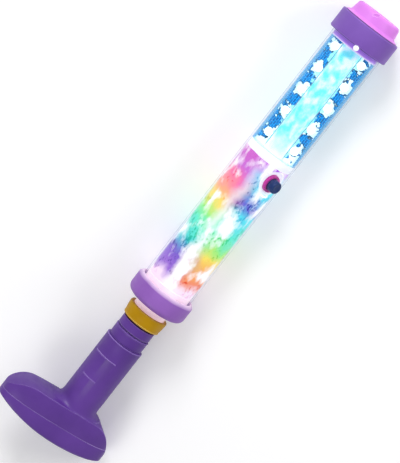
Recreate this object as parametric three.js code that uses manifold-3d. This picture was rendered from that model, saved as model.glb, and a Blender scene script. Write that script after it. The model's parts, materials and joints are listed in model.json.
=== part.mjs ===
// A hand-pumped, light-up water squirter lying on a flat surface, in millimetres, +Z up.
// +X runs along the barrel from the handle to the nozzle. The origin lies on the surface,
// under the middle of the whole object.
import * as THREE from "three";
import { mergeVertices } from "three/addons/utils/BufferGeometryUtils.js";
import Module from "manifold-3d";

const wasm = await Module();
wasm.setup();

// Lengths along the barrel, from the nozzle back to the palm.
const NOZZLE_LENGTH = 10.8;
const FRONT_COLLAR_LENGTH = 16.4;
const TRIM_LENGTH = 4.2;
const FRONT_WINDOW = 94.7;
const DIVIDER_LENGTH = 6;
const REAR_WINDOW = 122.3;
const REAR_COLLAR_LENGTH = 17;
const NECK_GAP = 5.7;
const GLAND_LENGTH = 10.7;
const NECK_LENGTH = 19.5;
const GRIP_LENGTH = 58;
const BAR_DROP = 34.7;

// Radii of the round pieces, and the walls that stand round the tube.
const TUBE_RADIUS = 21;
const TUBE_WALL = 1.5;
const COLLAR_WALL = 3.2;
const CYLINDER_RADIUS = (8 / 21) * TUBE_RADIUS;
const CYLINDER_WALL = 1.2;
const ROD_RADIUS = 5;
const ROD_BORE = 3;
const JET_RADIUS = 3.5;
const SPOUT_RADIUS = 10.7;
const NOZZLE_BASE_RADIUS = 19.2;
const NOZZLE_TIP_RADIUS = 17.4;
const SKIRT_STEP = 2.2;
const MOUTH_RADIUS = 8;
const GLAND_RADIUS = 16.5;
const GLAND_TAIL_RADIUS = 14.8;
const GLAND_NECK_RADIUS = 13.5;
const NECK_RADIUS = 14;
const NECK_STEP_RADIUS = 14.5;
const GRIP_RADIUS = 15.6;
const GRIP_BORE = 12.7;

// Walls, seats and clearances.
const GAP = 0.3;
const SEAL_GAP = 0.15;
const WEB = 4;
const GASKET = 1;
const FLANGE = 2.1;
const SLEEVE_WALL = 0.6;
const SPIGOT_LENGTH = 13.7;
const PIN_RADIUS = 1.5;
const PISTON_LENGTH = 11.7;

// The palm bar: its reach to either side of the grip, and its section.
const BAR_LONG = 57;
const BAR_SHORT = 42;
const BAR_HALF_DEPTH = 17;
const BAR_TOP_DROP = 4.5;
const BAR_TOE_DROP = 22;
const BAR_TOE_POWER = 2.8;
const BAR_HEEL_DROP = 10.5;
const BAR_HEEL_POWER = 2.3;
const BAR_LONG_RISE = 10;
const BAR_SHORT_RISE = 4;
const BAR_SEAM_DROP = 20;
const BAR_CROWN = 1.5;
const BAR_WALL = 2.6;
const BAR_ROUNDNESS = 2.6;
const FILLET = 7;
const FILLET_DEPTH = 0.18;
const PALM_SCREWS = [32, -20];

// The lights.
const BOARD_CLEARANCE = 1.6;
const BOARD_THICKNESS = 1;
const LED_RADIUS = 3.4;
const LED_HEIGHT = 2.4;
const FRONT_LEDS = 5;
const REAR_LEDS = 3;
const CELL_RADIUS = 5.8;
const CELL_HEIGHT = 5.4;
const CELL_PITCH = 12.9;
const TRAY_WALL = 1.1;
const TRAY_END = 2;
const TRAY_BACK = 4.4;

// The push switch stands out radially on the barrel's side, this far behind the divider. Its
// housing and cup lie under the clear wall, and only the button passes through it.
const SWITCH_BACK = 12;
const SWITCH_TURN = THREE.MathUtils.degToRad(51);
const HOUSING_RADIUS = 7;
const HOUSING_LIP = 0.9;
const CUP_RADIUS = 10.8;
const CUP_PLATE = 0.8;
const CONTACT_ROOM = 2.6;
const PAD_THICKNESS = 0.6;
const BUTTON_RADIUS = 4.8;
const BUTTON_FLANGE = 5.6;
const BUTTON_TRAVEL = 1.2;
const BUTTON_PROUD = 2.7;
const STEM_RADIUS = 2.2;
const STEM_HOLE = 2.6;

const BIG = 32;
const MID = 24;
const SMALL = 16;

// Stations along X.
const total =
  NOZZLE_LENGTH + FRONT_COLLAR_LENGTH + TRIM_LENGTH + FRONT_WINDOW + DIVIDER_LENGTH + REAR_WINDOW +
  REAR_COLLAR_LENGTH + NECK_GAP + GLAND_LENGTH + NECK_LENGTH + GRIP_LENGTH + BAR_DROP;
const tipX = total / 2;
const collarFrontX = tipX - NOZZLE_LENGTH;
const collarBackX = collarFrontX - FRONT_COLLAR_LENGTH;
const trimBackX = collarBackX - TRIM_LENGTH;
const dividerFrontX = trimBackX - FRONT_WINDOW;
const dividerBackX = dividerFrontX - DIVIDER_LENGTH;
const rearCollarX = dividerBackX - REAR_WINDOW;
const rearCollarEndX = rearCollarX - REAR_COLLAR_LENGTH;
const glandX = rearCollarEndX - NECK_GAP;
const glandEndX = glandX - GLAND_LENGTH;
const gripX = glandEndX - NECK_LENGTH;
const barX = gripX - GRIP_LENGTH;
const switchX = dividerBackX - SWITCH_BACK;

// Shared radii and seats.
const tubeBore = TUBE_RADIUS - TUBE_WALL;
const plugRadius = tubeBore - GAP;
const cylinderBore = CYLINDER_RADIUS - CYLINDER_WALL;
const cylinderSeat = CYLINDER_RADIUS + GAP;
const tubeSeat = TUBE_RADIUS + GAP;
const collarRadius = tubeSeat + COLLAR_WALL;
const skirtRadius = collarRadius - SKIRT_STEP;
const sleeveBore = plugRadius - SLEEVE_WALL;
const collarWebX = collarFrontX - WEB;
const tubeFrontX = collarWebX - GAP - FLANGE - GAP - GASKET - GAP;
const rearWebX = rearCollarEndX + WEB;
const tubeBackX = rearWebX + GAP + GASKET + GAP;
const cylinderFrontX = tubeFrontX - 3;
const cylinderBackX = glandX - 0.9;
const rearPlugX = rearCollarX + 3.6;
const frontPlugX = collarBackX - 0.1;
const wiperX = glandX - 5.7;
const pistonX = cylinderFrontX - 0.3 - PISTON_LENGTH;

// Materials.
function plastic(color, roughness, extra = {}) {
  return new THREE.MeshStandardMaterial({ color, roughness, metalness: 0, flatShading: true, ...extra });
}

const clear = { transparent: true, opacity: 0.3 };
const purple = plastic(0x674198, 0.42);
const lilac = plastic(0x8460b8, 0.4);
const pink = plastic(0xe78cf3, 0.4);
const yellow = plastic(0xb78f1a, 0.35);
const clearPlastic = plastic(0xeaf4fb, 0.1, clear);
const cyanPlastic = plastic(0x86f0f4, 0.25);
const whitePlastic = plastic(0xf6f2fa, 0.4);
const blueBoard = plastic(0x0f62c4, 0.45);
const ledLens = plastic(0xffffff, 0.2, { emissive: 0xffffff, emissiveIntensity: 1 });
const blueFilm = plastic(0x3f9fe8, 0.3, { transparent: true, opacity: 0.35 });
const rainbowFilm = plastic(0xd9a8e8, 0.4, { transparent: true, opacity: 0.7 });
const magenta = plastic(0xd02aa0, 0.35);
const navy = plastic(0x0d2f66, 0.35);
const blackPlastic = plastic(0x1d1d22, 0.5);
const rubber = plastic(0x2a2a2e, 0.8);
const steel = new THREE.MeshStandardMaterial({
  color: 0xc4c8cc, roughness: 0.3, metalness: 1, flatShading: true,
});

// Leaves one closed skin: shared corners, no empty triangles, faces pointing out.
function clean(geometry) {
  const bare = geometry.clone();
  for (const name of Object.keys(bare.attributes)) {
    if (name !== "position") {
      bare.deleteAttribute(name);
    }
  }
  const merged = mergeVertices(bare, 1e-4);
  const position = merged.attributes.position;
  const corners = [];
  let volume = 0;
  const a = new THREE.Vector3();
  const b = new THREE.Vector3();
  const c = new THREE.Vector3();
  for (let i = 0; i < merged.index.count; i += 3) {
    const [p, q, r] = [0, 1, 2].map((k) => merged.index.getX(i + k));
    if (p === q || q === r || r === p) {
      continue;
    }
    corners.push([p, q, r]);
    a.fromBufferAttribute(position, p);
    b.fromBufferAttribute(position, q);
    c.fromBufferAttribute(position, r);
    volume += a.dot(b.cross(c));
  }
  merged.setIndex(corners.flatMap(([p, q, r]) => (volume > 0 ? [p, q, r] : [p, r, q])));
  return merged;
}

function toSolid(geometry) {
  return new wasm.Manifold(
    new wasm.Mesh({
      numProp: 3,
      vertProperties: Float32Array.from(geometry.attributes.position.array),
      triVerts: Uint32Array.from(geometry.index.array),
    }),
  );
}

function toGeometry(solid) {
  const mesh = solid.getMesh();
  const geometry = new THREE.BufferGeometry();
  geometry.setAttribute("position", new THREE.BufferAttribute(mesh.vertProperties, 3));
  geometry.setIndex(new THREE.BufferAttribute(mesh.triVerts, 1));
  return geometry;
}

function join(first, ...others) {
  return toGeometry(others.reduce((solid, other) => solid.add(toSolid(other)), toSolid(first)));
}

function cut(first, ...others) {
  return toGeometry(others.reduce((solid, other) => solid.subtract(toSolid(other)), toSolid(first)));
}

function common(first, ...others) {
  return toGeometry(others.reduce((solid, other) => solid.intersect(toSolid(other)), toSolid(first)));
}

// A solid of revolution about X from a closed loop of [x, radius] points.
function turned(profile, sides) {
  const points = profile.map(([x, radius]) => new THREE.Vector2(radius, x));
  points.push(points[0].clone());
  const geometry = new THREE.LatheGeometry(points, sides);
  geometry.rotateZ(-Math.PI / 2);
  return clean(geometry);
}

// The same about Z, from [z, radius] points.
function turnedUp(profile, sides) {
  const geometry = turned(profile, sides);
  geometry.rotateY(-Math.PI / 2);
  return geometry;
}

function ring(fromX, toX, inner, outer, sides) {
  return turned([[fromX, inner], [fromX, outer], [toX, outer], [toX, inner]], sides);
}

function postUp(radius, fromZ, toZ, sides = SMALL) {
  return turnedUp([[fromZ, 0], [fromZ, radius], [toZ, radius], [toZ, 0]], sides);
}

function postAlong(radius, fromX, toX, sides = SMALL) {
  return turned([[fromX, 0], [fromX, radius], [toX, radius], [toX, 0]], sides);
}

function block([x0, x1], [y0, y1], [z0, z1]) {
  const geometry = new THREE.BoxGeometry(x1 - x0, y1 - y0, z1 - z0);
  geometry.translate((x0 + x1) / 2, (y0 + y1) / 2, (z0 + z1) / 2);
  return clean(geometry);
}

// A closed solid through a row of sections with the same number of points each.
function lofted(sections) {
  const size = sections[0].length;
  const last = sections.length - 1;
  const index = [];
  for (let i = 0; i < last; i += 1) {
    for (let j = 0; j < size; j += 1) {
      const k = (j + 1) % size;
      const [p, q, r, s] = [i * size + j, i * size + k, (i + 1) * size + k, (i + 1) * size + j];
      index.push(p, q, r, p, r, s);
    }
  }
  for (let j = 1; j < size - 1; j += 1) {
    index.push(0, j + 1, j);
    index.push(last * size, last * size + j, last * size + j + 1);
  }
  const geometry = new THREE.BufferGeometry().setFromPoints(sections.flat());
  geometry.setIndex(index);
  return clean(geometry);
}

function mesh(parent, name, geometry, material) {
  const piece = new THREE.Mesh(geometry, material);
  piece.name = name;
  parent.add(piece);
  return piece;
}

// Moves a shape from the switch's upright frame out to the barrel's side.
function onSwitch(geometry) {
  geometry.rotateX(SWITCH_TURN);
  geometry.translate(switchX, 0, 0);
  return geometry;
}

const squirter = new THREE.Group();
const barrel = new THREE.Group();
const handle = new THREE.Group();
squirter.add(barrel, handle);

// The clear barrel, with a round hole for the switch.
const tube = ring(tubeBackX, tubeFrontX, tubeBore, TUBE_RADIUS, BIG);
const switchHole = onSwitch(postUp(BUTTON_RADIUS + GAP, CYLINDER_RADIUS, 2 * TUBE_RADIUS, 24));
mesh(barrel, "barrel_tube", cut(tube, switchHole), clearPlastic);

// The pump cylinder runs the whole length inside it.
const cylinder = ring(cylinderBackX, cylinderFrontX, cylinderBore, CYLINDER_RADIUS, MID);
mesh(barrel, "pump_cylinder", cylinder, clearPlastic);

// Front end: collar, trim ring, plug with its spout, gasket and nozzle.
function collar(openX, webX, closedX, hole, edge, round) {
  const out = Math.sign(closedX - openX);
  return turned(
    [
      [openX, tubeSeat],
      [openX, collarRadius - edge],
      [openX + edge * out, collarRadius],
      [closedX - round * out, collarRadius],
      [closedX - round * 0.5 * out, collarRadius - round * 0.134],
      [closedX - round * 0.134 * out, collarRadius - round * 0.5],
      [closedX, collarRadius - round],
      [closedX, hole],
      [webX, hole],
      [webX, tubeSeat],
    ],
    BIG,
  );
}
const spoutHole = SPOUT_RADIUS + GAP;
mesh(barrel, "front_collar", collar(collarBackX, collarWebX, collarFrontX, spoutHole, 0.8, 1), lilac);
const trim = ring(trimBackX, frontPlugX - GAP, sleeveBore, plugRadius, BIG);
mesh(barrel, "front_trim_ring", trim, purple);

const flangeX = collarWebX - GAP - FLANGE;
const spoutX = collarFrontX + 2.5;
const plug = turned(
  [
    [frontPlugX, cylinderSeat],
    [frontPlugX, plugRadius],
    [flangeX, plugRadius],
    [flangeX, TUBE_RADIUS - 0.1],
    [flangeX + FLANGE, TUBE_RADIUS - 0.1],
    [flangeX + FLANGE, SPOUT_RADIUS],
    [spoutX, SPOUT_RADIUS],
    [spoutX, JET_RADIUS],
    [cylinderFrontX + GAP, JET_RADIUS],
    [cylinderFrontX + GAP, cylinderSeat],
  ],
  BIG,
);
mesh(barrel, "front_plug", plug, purple);
const frontGasket = ring(tubeFrontX + GAP, flangeX - GAP, tubeBore + 0.1, TUBE_RADIUS - 0.1, BIG);
mesh(barrel, "front_gasket", frontGasket, rubber);

const nozzleX = collarFrontX + GAP;
const nozzleBody = turned(
  [
    [nozzleX, spoutHole],
    [nozzleX, skirtRadius],
    [nozzleX + 0.5, skirtRadius - 0.1],
    [nozzleX + 1.1, (skirtRadius + NOZZLE_BASE_RADIUS) / 2 - 0.3],
    [nozzleX + 2.4, NOZZLE_BASE_RADIUS - 0.1],
    [tipX - 2.4, NOZZLE_TIP_RADIUS + 0.8],
    [tipX - 0.7, NOZZLE_TIP_RADIUS + 0.1],
    [tipX, NOZZLE_TIP_RADIUS - 1],
    [tipX, MOUTH_RADIUS],
    [tipX - 3, JET_RADIUS],
    [spoutX + GAP, JET_RADIUS],
    [spoutX + GAP, spoutHole],
  ],
  BIG,
);
const notch = block([tipX - 3.5, tipX + 1], [-0.8, 0.8], [NOZZLE_TIP_RADIUS - 2, NOZZLE_TIP_RADIUS + 3]);
mesh(barrel, "nozzle_cap", cut(nozzleBody, notch), pink);

// The divider parts the front lights from the rear ones and centres the cylinder.
const divider = ring(dividerBackX, dividerFrontX, cylinderSeat, plugRadius, BIG);
mesh(barrel, "divider", divider, whitePlastic);

// Light boards on either side of the cylinder, with their lamps on top.
const boardInner = CYLINDER_RADIUS + 2 * GAP;
const boardOuter = sleeveBore - BOARD_CLEARANCE;
const lampMiddle = boardInner + LED_RADIUS;
function lightBoard(name, side, fromX, toX, count) {
  const edges = [boardInner * side, boardOuter * side].sort((p, q) => p - q);
  const board = block([fromX, toX], edges, [-BOARD_THICKNESS / 2, BOARD_THICKNESS / 2]);
  mesh(barrel, `${name}_board`, board, blueBoard);
  const pitch = (toX - fromX) / count;
  for (let i = 0; i < count; i += 1) {
    const lens = turnedUp(
      [
        [0, 0],
        [0, LED_RADIUS],
        [LED_HEIGHT * 0.45, LED_RADIUS],
        [LED_HEIGHT * 0.85, LED_RADIUS * 0.65],
        [LED_HEIGHT, 0],
      ],
      12,
    );
    const lamp = mesh(barrel, `${name}_led_${i + 1}`, lens, ledLens);
    const lampX = toX - pitch * (i + 0.5);
    lamp.position.set(lampX, lampMiddle * side, BOARD_THICKNESS / 2 + GAP);
  }
}
const switchClearX = switchX - CUP_RADIUS - 4 * GAP;
for (const [word, side] of [["left", 1], ["right", -1]]) {
  lightBoard(`front_${word}`, side, dividerFrontX + GAP, frontPlugX - GAP, FRONT_LEDS);
  lightBoard(`rear_${word}`, side, rearPlugX + GAP, switchClearX, REAR_LEDS);
}

// Thin films line the windows: a violet band and a blue one in front, a rainbow one behind.
const frontFilm = ring(dividerFrontX + GAP, trimBackX - GAP, sleeveBore, plugRadius, BIG);
mesh(barrel, "blue_sleeve", frontFilm, blueFilm);
const sleeve = ring(rearPlugX + GAP, dividerBackX - GAP, sleeveBore, plugRadius, BIG);
const sleeveHole = onSwitch(postUp(CUP_RADIUS + 2 * GAP, CYLINDER_RADIUS, 2 * TUBE_RADIUS, 24));
mesh(barrel, "rainbow_sleeve", cut(sleeve, sleeveHole), rainbowFilm);

// Three button cells in a tray under the cylinder, with their strap and end tab.
const trayTopZ = -(CYLINDER_RADIUS + 0.4);
const cellTopZ = trayTopZ - 1.4;
const trayFromX = rearPlugX + TRAY_BACK;
const trayToX = trayFromX + 3 * CELL_PITCH + 2 * TRAY_END;
const cellX = [0, 1, 2].map((i) => trayFromX + TRAY_END + CELL_PITCH * (i + 0.5));
const trayHalf = CELL_RADIUS + GAP + TRAY_WALL;
const trayUnderZ = cellTopZ - 0.8 * CELL_HEIGHT;
const tray = block([trayFromX, trayToX], [-trayHalf, trayHalf], [trayUnderZ, trayTopZ]);
const pockets = cellX.map((x) => {
  const pocket = postUp(CELL_RADIUS + GAP, cellTopZ - 2 * CELL_HEIGHT, cellTopZ + GAP, 24);
  pocket.translate(x, 0, 0);
  return pocket;
});
mesh(barrel, "battery_tray", cut(tray, ...pockets), blackPlastic);
cellX.forEach((x, i) => {
  const cell = postUp(CELL_RADIUS, cellTopZ - CELL_HEIGHT, cellTopZ, 24);
  mesh(barrel, `battery_cell_${i + 1}`, cell, steel).position.x = x;
});
const strapTopZ = cellTopZ - CELL_HEIGHT - GAP;
const strapEnd = TRAY_END / 2;
const strap = block(
  [trayFromX + strapEnd, trayToX - strapEnd],
  [-CELL_RADIUS * 0.43, CELL_RADIUS * 0.43],
  [strapTopZ - 0.4, strapTopZ],
);
mesh(barrel, "battery_strap", strap, steel);
const tab = block([trayToX + GAP, trayToX + GAP + 0.5], [-3, 3], [strapTopZ, trayTopZ - 1]);
mesh(barrel, "battery_tab", tab, steel);

// The push switch: saddle on the cylinder, contact switch, white cup, magenta housing, button.
const switchFrame = new THREE.Group();
switchFrame.position.x = switchX;
switchFrame.rotation.x = SWITCH_TURN;
barrel.add(switchFrame);
const underWall = (radius) => Math.sqrt(tubeBore ** 2 - radius ** 2) - GAP;
const housingTop = underWall(HOUSING_RADIUS);
const cupTop = underWall(CUP_RADIUS);
const lipUnder = housingTop - HOUSING_LIP;
const buttonUnder = lipUnder - GAP - BUTTON_TRAVEL;
const padTop = buttonUnder - BUTTON_TRAVEL - 0.2;
const padFoot = padTop - PAD_THICKNESS;
const plateTop = padFoot - 0.25;
const plateUnder = plateTop - CUP_PLATE;
const contactFoot = plateTop - CONTACT_ROOM;
const contactTop = plateUnder - 0.1;
const saddleTop = contactFoot - 0.25;
const saddleStrap = cylinderSeat + 0.6 * (saddleTop - cylinderSeat);
const saddleRadius = CUP_RADIUS - 0.2;
const saddle = cut(
  join(postAlong(saddleStrap, -7, 7, 24), postUp(saddleRadius, 0, saddleTop, 24)),
  postAlong(cylinderSeat, -2 * CUP_RADIUS, 2 * CUP_RADIUS, MID),
);
const wide = [-TUBE_RADIUS, TUBE_RADIUS];
const belowAxis = block(wide, wide, [-TUBE_RADIUS, 2]);
mesh(switchFrame, "switch_saddle", cut(saddle, belowAxis), whitePlastic);
const contact = join(
  block([-3, 3], [-3, 3], [contactFoot, contactTop - 0.6]),
  postUp(1.6, contactFoot + 0.5, contactTop, 12),
);
mesh(switchFrame, "contact_switch", contact, blackPlastic);
const cup = turnedUp(
  [
    [contactFoot, HOUSING_RADIUS - 0.6],
    [contactFoot, CUP_RADIUS],
    [cupTop, CUP_RADIUS],
    [cupTop, HOUSING_RADIUS + GAP],
    [plateTop, HOUSING_RADIUS + GAP],
    [plateTop, STEM_HOLE],
    [plateUnder, STEM_HOLE],
    [plateUnder, HOUSING_RADIUS - 0.6],
  ],
  24,
);
mesh(switchFrame, "switch_cup", cup, whitePlastic);
const housing = turnedUp(
  [
    [padFoot, BUTTON_FLANGE + GAP],
    [padFoot, HOUSING_RADIUS],
    [housingTop, HOUSING_RADIUS],
    [housingTop, BUTTON_RADIUS + GAP],
    [lipUnder, BUTTON_RADIUS + GAP],
    [lipUnder, BUTTON_FLANGE + GAP],
  ],
  24,
);
mesh(switchFrame, "switch_housing", housing, magenta);
const padOuter = BUTTON_FLANGE - 2 * GAP;
const returnPad = turnedUp(
  [[padFoot, STEM_HOLE + GAP], [padFoot, padOuter], [padTop, padOuter - GAP], [padTop, STEM_HOLE + GAP]],
  20,
);
mesh(switchFrame, "return_pad", returnPad, rubber);
const buttonTop = TUBE_RADIUS + BUTTON_PROUD;
const stemFoot = contactTop + 0.1 + BUTTON_TRAVEL;
const button = turnedUp(
  [
    [stemFoot, 0],
    [stemFoot, STEM_RADIUS],
    [buttonUnder, STEM_RADIUS],
    [buttonUnder, BUTTON_FLANGE],
    [buttonUnder + BUTTON_TRAVEL, BUTTON_FLANGE],
    [buttonUnder + BUTTON_TRAVEL, BUTTON_RADIUS],
    [buttonTop - 1.2, BUTTON_RADIUS],
    [buttonTop - 0.35, BUTTON_RADIUS - 0.35],
    [buttonTop, BUTTON_RADIUS - 1.2],
    [buttonTop, 0],
  ],
  24,
);
mesh(switchFrame, "switch_button", button, navy);

// Rear end: plug, gasket, collar, gland neck, gland ring and rod wiper.
const neckFlangeX = tubeBackX + 3.2;
const rearPlug = ring(neckFlangeX + GAP, rearPlugX, cylinderSeat, plugRadius, BIG);
mesh(barrel, "rear_plug", rearPlug, whitePlastic);
const rearGasket = ring(rearWebX + GAP, tubeBackX - GAP, tubeBore - 1, TUBE_RADIUS - 0.1, BIG);
mesh(barrel, "rear_gasket", rearGasket, rubber);
const neckHole = GLAND_NECK_RADIUS + GAP;
mesh(barrel, "rear_collar", collar(rearCollarX, rearWebX, rearCollarEndX, neckHole, 2.2, 5), lilac);
const rodHole = ROD_RADIUS + 0.4;
const glandNeck = turned(
  [
    [neckFlangeX, cylinderSeat],
    [neckFlangeX, plugRadius],
    [tubeBackX + GAP, plugRadius],
    [tubeBackX + GAP, GLAND_NECK_RADIUS],
    [wiperX + GAP, GLAND_NECK_RADIUS],
    [wiperX + GAP, rodHole],
    [cylinderBackX - GAP, rodHole],
    [cylinderBackX - GAP, cylinderSeat],
  ],
  MID,
);
mesh(barrel, "gland_neck", glandNeck, whitePlastic);
const wiperRadius = 9;
const glandRing = turned(
  [
    [glandX, neckHole],
    [glandX, GLAND_RADIUS - 1],
    [glandX - 1, GLAND_RADIUS],
    [glandX - 5.5, GLAND_RADIUS - 0.4],
    [glandEndX + 0.8, GLAND_TAIL_RADIUS + 0.5],
    [glandEndX, GLAND_TAIL_RADIUS - 0.4],
    [glandEndX, rodHole],
    [wiperX - 2.5, rodHole],
    [wiperX - 2.5, wiperRadius + GAP],
    [wiperX, wiperRadius + GAP],
    [wiperX, neckHole],
  ],
  MID,
);
mesh(barrel, "gland_ring", glandRing, yellow);
const wiper = ring(wiperX - 2.5 + GAP, wiperX, ROD_RADIUS + 0.2, wiperRadius, MID);
mesh(barrel, "rod_wiper", wiper, rubber);

// Piston, snapped on the rod's front end so that the handle can turn without it.
const socketX = pistonX + 2.4;
const socketEndX = socketX + 4.2;
const grooveX = socketEndX + 0.8;
const grooveWidth = 2.4;
const pistonRadius = cylinderBore - GAP;
const grooveRadius = pistonRadius - 1.6;
const piston = turned(
  [
    [pistonX, 3.1],
    [pistonX, pistonRadius],
    [grooveX, pistonRadius],
    [grooveX, grooveRadius],
    [grooveX + grooveWidth, grooveRadius],
    [grooveX + grooveWidth, pistonRadius],
    [pistonX + PISTON_LENGTH, pistonRadius],
    [pistonX + PISTON_LENGTH, 0],
    [socketEndX, 0],
    [socketEndX, 4],
    [socketX, 4],
    [socketX, 3.1],
  ],
  MID,
);
mesh(barrel, "piston_head", piston, purple);
const sealMiddle = (cylinderBore - SEAL_GAP + grooveRadius + SEAL_GAP) / 2;
const sealHalf = (cylinderBore - grooveRadius) / 2 - SEAL_GAP;
const sealX = grooveX + grooveWidth / 2;
const sealProfile = [0, 1, 2, 3, 4, 5].map((i) => {
  const angle = (i * Math.PI) / 3 + Math.PI / 6;
  return [sealX + sealHalf * Math.cos(angle), sealMiddle + sealHalf * Math.sin(angle)];
});
mesh(barrel, "piston_seal", turned(sealProfile, MID), rubber);

// The rod is a clear tube, closed and knobbed at its front, pinned in the neck at its back.
const spigotEndX = gripX - SPIGOT_LENGTH;
const pinX = gripX - SPIGOT_LENGTH / 2;
const rodEndX = pistonX - GAP;
const rodBody = turned(
  [
    [spigotEndX, ROD_BORE],
    [spigotEndX, ROD_RADIUS],
    [rodEndX, ROD_RADIUS],
    [rodEndX, 2.8],
    [socketX + GAP, 2.8],
    [socketX + GAP, 3.7],
    [socketEndX - 1, 3.7],
    [socketEndX - 0.4, 2.6],
    [socketEndX - 0.4, 0],
    [rodEndX - 6, 0],
    [rodEndX - 6, ROD_BORE],
  ],
  MID,
);
const pinHole = postUp(PIN_RADIUS + GAP, -20, 20, 12);
pinHole.translate(pinX, 0, 0);
mesh(handle, "plunger_rod", cut(rodBody, pinHole), cyanPlastic);

// Neck with two steps and a spigot that sits in the grip.
const neckX = glandEndX - 0.5;
const neckStepX = (neckX + gripX) / 2;
const spigotRadius = GRIP_BORE - GAP;
const neckBody = turned(
  [
    [neckX, ROD_RADIUS + GAP],
    [neckX, NECK_RADIUS - 0.4],
    [neckX - 0.4, NECK_RADIUS],
    [neckStepX + 0.3, NECK_RADIUS],
    [neckStepX, NECK_RADIUS - 0.5],
    [neckStepX - 0.3, NECK_STEP_RADIUS],
    [gripX + 0.3, NECK_STEP_RADIUS],
    [gripX, NECK_STEP_RADIUS - 0.4],
    [gripX, spigotRadius],
    [spigotEndX, spigotRadius],
    [spigotEndX, ROD_RADIUS + GAP],
  ],
  MID,
);
mesh(handle, "neck_collar", cut(neckBody, pinHole), purple);
const pin = postUp(PIN_RADIUS, -spigotRadius + 0.3, spigotRadius - 0.3, 12);
mesh(handle, "rod_pin", pin, steel).position.x = pinX;

// The palm bar. Along its length y it is level on top, drops to a toe on its short side and is
// crowned underneath; its plan is a rounded lens.
function barTop(y) {
  const toe = Math.max(0, -y - BAR_SHORT * 0.29) / (BAR_SHORT * 0.71);
  const heel = Math.max(0, y - BAR_LONG * 0.6) / (BAR_LONG * 0.4);
  const drop = BAR_TOE_DROP * toe ** BAR_TOE_POWER + BAR_HEEL_DROP * heel ** BAR_HEEL_POWER;
  return barX - BAR_TOP_DROP - drop;
}

function barBottom(y) {
  const reach = y > 0 ? BAR_LONG : BAR_SHORT;
  const rise = y > 0 ? BAR_LONG_RISE : BAR_SHORT_RISE;
  return barX - BAR_DROP + rise * (y / reach) ** 2;
}

function barStations(inset, count) {
  return Array.from({ length: count + 1 }, (_, i) => {
    const share = Math.sin(THREE.MathUtils.degToRad(-86 + (172 * i) / count));
    const reach = share > 0 ? BAR_LONG - inset : BAR_SHORT - 1.8 * inset;
    const lens = (1 - Math.abs(share) ** BAR_ROUNDNESS) ** (1 / BAR_ROUNDNESS);
    return { y: share * reach, half: (BAR_HALF_DEPTH - inset) * lens };
  });
}

function barSolid(inset) {
  const sections = barStations(inset, 14).map(({ y, half }) => {
    const top = barTop(y) - inset;
    const bottom = barBottom(y) + inset;
    const tall = top - bottom;
    const under = Math.min(3, half * 0.5, tall * 0.35);
    const edge = Math.min(0.8, half * 0.3, tall * 0.3);
    const crown = (BAR_CROWN * half) / BAR_HALF_DEPTH;
    const right = [
      [half - under, bottom],
      [half, bottom + under],
      [half, top - edge],
      [half - edge, top],
      [half * 0.45, top + crown * 0.8],
    ];
    const left = right.map(([z, x]) => [-z, x]).reverse();
    return [...right, [0, top + crown], ...left].map(([z, x]) => new THREE.Vector3(x, y, z));
  });
  return lofted(sections);
}

const barOuter = barSolid(0);
const barInner = barSolid(BAR_WALL);
const seamX = barX - BAR_SEAM_DROP;
const room = [-1.5 * BAR_LONG, 1.5 * BAR_LONG];
const aboveSeam = block([seamX + GAP / 2, gripX + BAR_DROP], room, room);
const belowSeam = block([barX - 2 * BAR_DROP, seamX - GAP / 2], room, room);
const filletSteps = [0, 18, 36, 54, 72, 90].map((degrees) => {
  const angle = THREE.MathUtils.degToRad(degrees);
  const startX = barX - BAR_TOP_DROP + FILLET;
  return [startX - FILLET * Math.sin(angle), GRIP_RADIUS + FILLET * (1 - Math.cos(angle))];
});
const gripFrontX = gripX - GAP;
const gripPost = turned(
  [
    [gripFrontX, 0],
    [gripFrontX, GRIP_RADIUS - 0.5],
    [gripFrontX - 0.5, GRIP_RADIUS],
    ...filletSteps,
    [barX - BAR_TOP_DROP - 4, GRIP_RADIUS + FILLET],
    [barX - BAR_TOP_DROP - 4, 0],
  ],
  MID,
);

// The flare spreads along the bar and hardly towards its two faces.
function flattened(geometry) {
  const position = geometry.attributes.position;
  for (let i = 0; i < position.count; i += 1) {
    const radius = Math.hypot(position.getY(i), position.getZ(i));
    if (radius > GRIP_RADIUS) {
      const depth = GRIP_RADIUS + FILLET_DEPTH * (radius - GRIP_RADIUS);
      position.setZ(i, (position.getZ(i) * depth) / radius);
    }
  }
  return geometry;
}
const gripBody = flattened(gripPost);
const planEnds = [barX - 2 * BAR_DROP, gripX + BAR_DROP];
const barPlan = lofted(
  barStations(0, 14).map(({ y, half }) =>
    [[-half, planEnds[0]], [half, planEnds[0]], [half, planEnds[1]], [-half, planEnds[1]]].map(
      ([z, x]) => new THREE.Vector3(x, y, z),
    ),
  ),
);
const bossRadius = 4;
function boss(y, fromX, toX, radius) {
  const post = postAlong(radius, fromX, toX, SMALL);
  post.translate(0, y, 0);
  return post;
}
const shellBosses = PALM_SCREWS.map((y) => boss(y, seamX + GAP / 2, barTop(y) - 1, bossRadius));
const pilotHoles = PALM_SCREWS.map((y) => boss(y, seamX - 1, seamX + 10, PIN_RADIUS + GAP));
const gripHole = postAlong(GRIP_BORE, barX - BAR_TOP_DROP - BAR_WALL - 4, gripX + 5, MID);
const shellSkin = cut(join(common(gripBody, barPlan), common(barOuter, aboveSeam)), gripHole, barInner);
mesh(handle, "handle_shell", cut(join(shellSkin, ...shellBosses), ...pilotHoles), purple);

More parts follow.
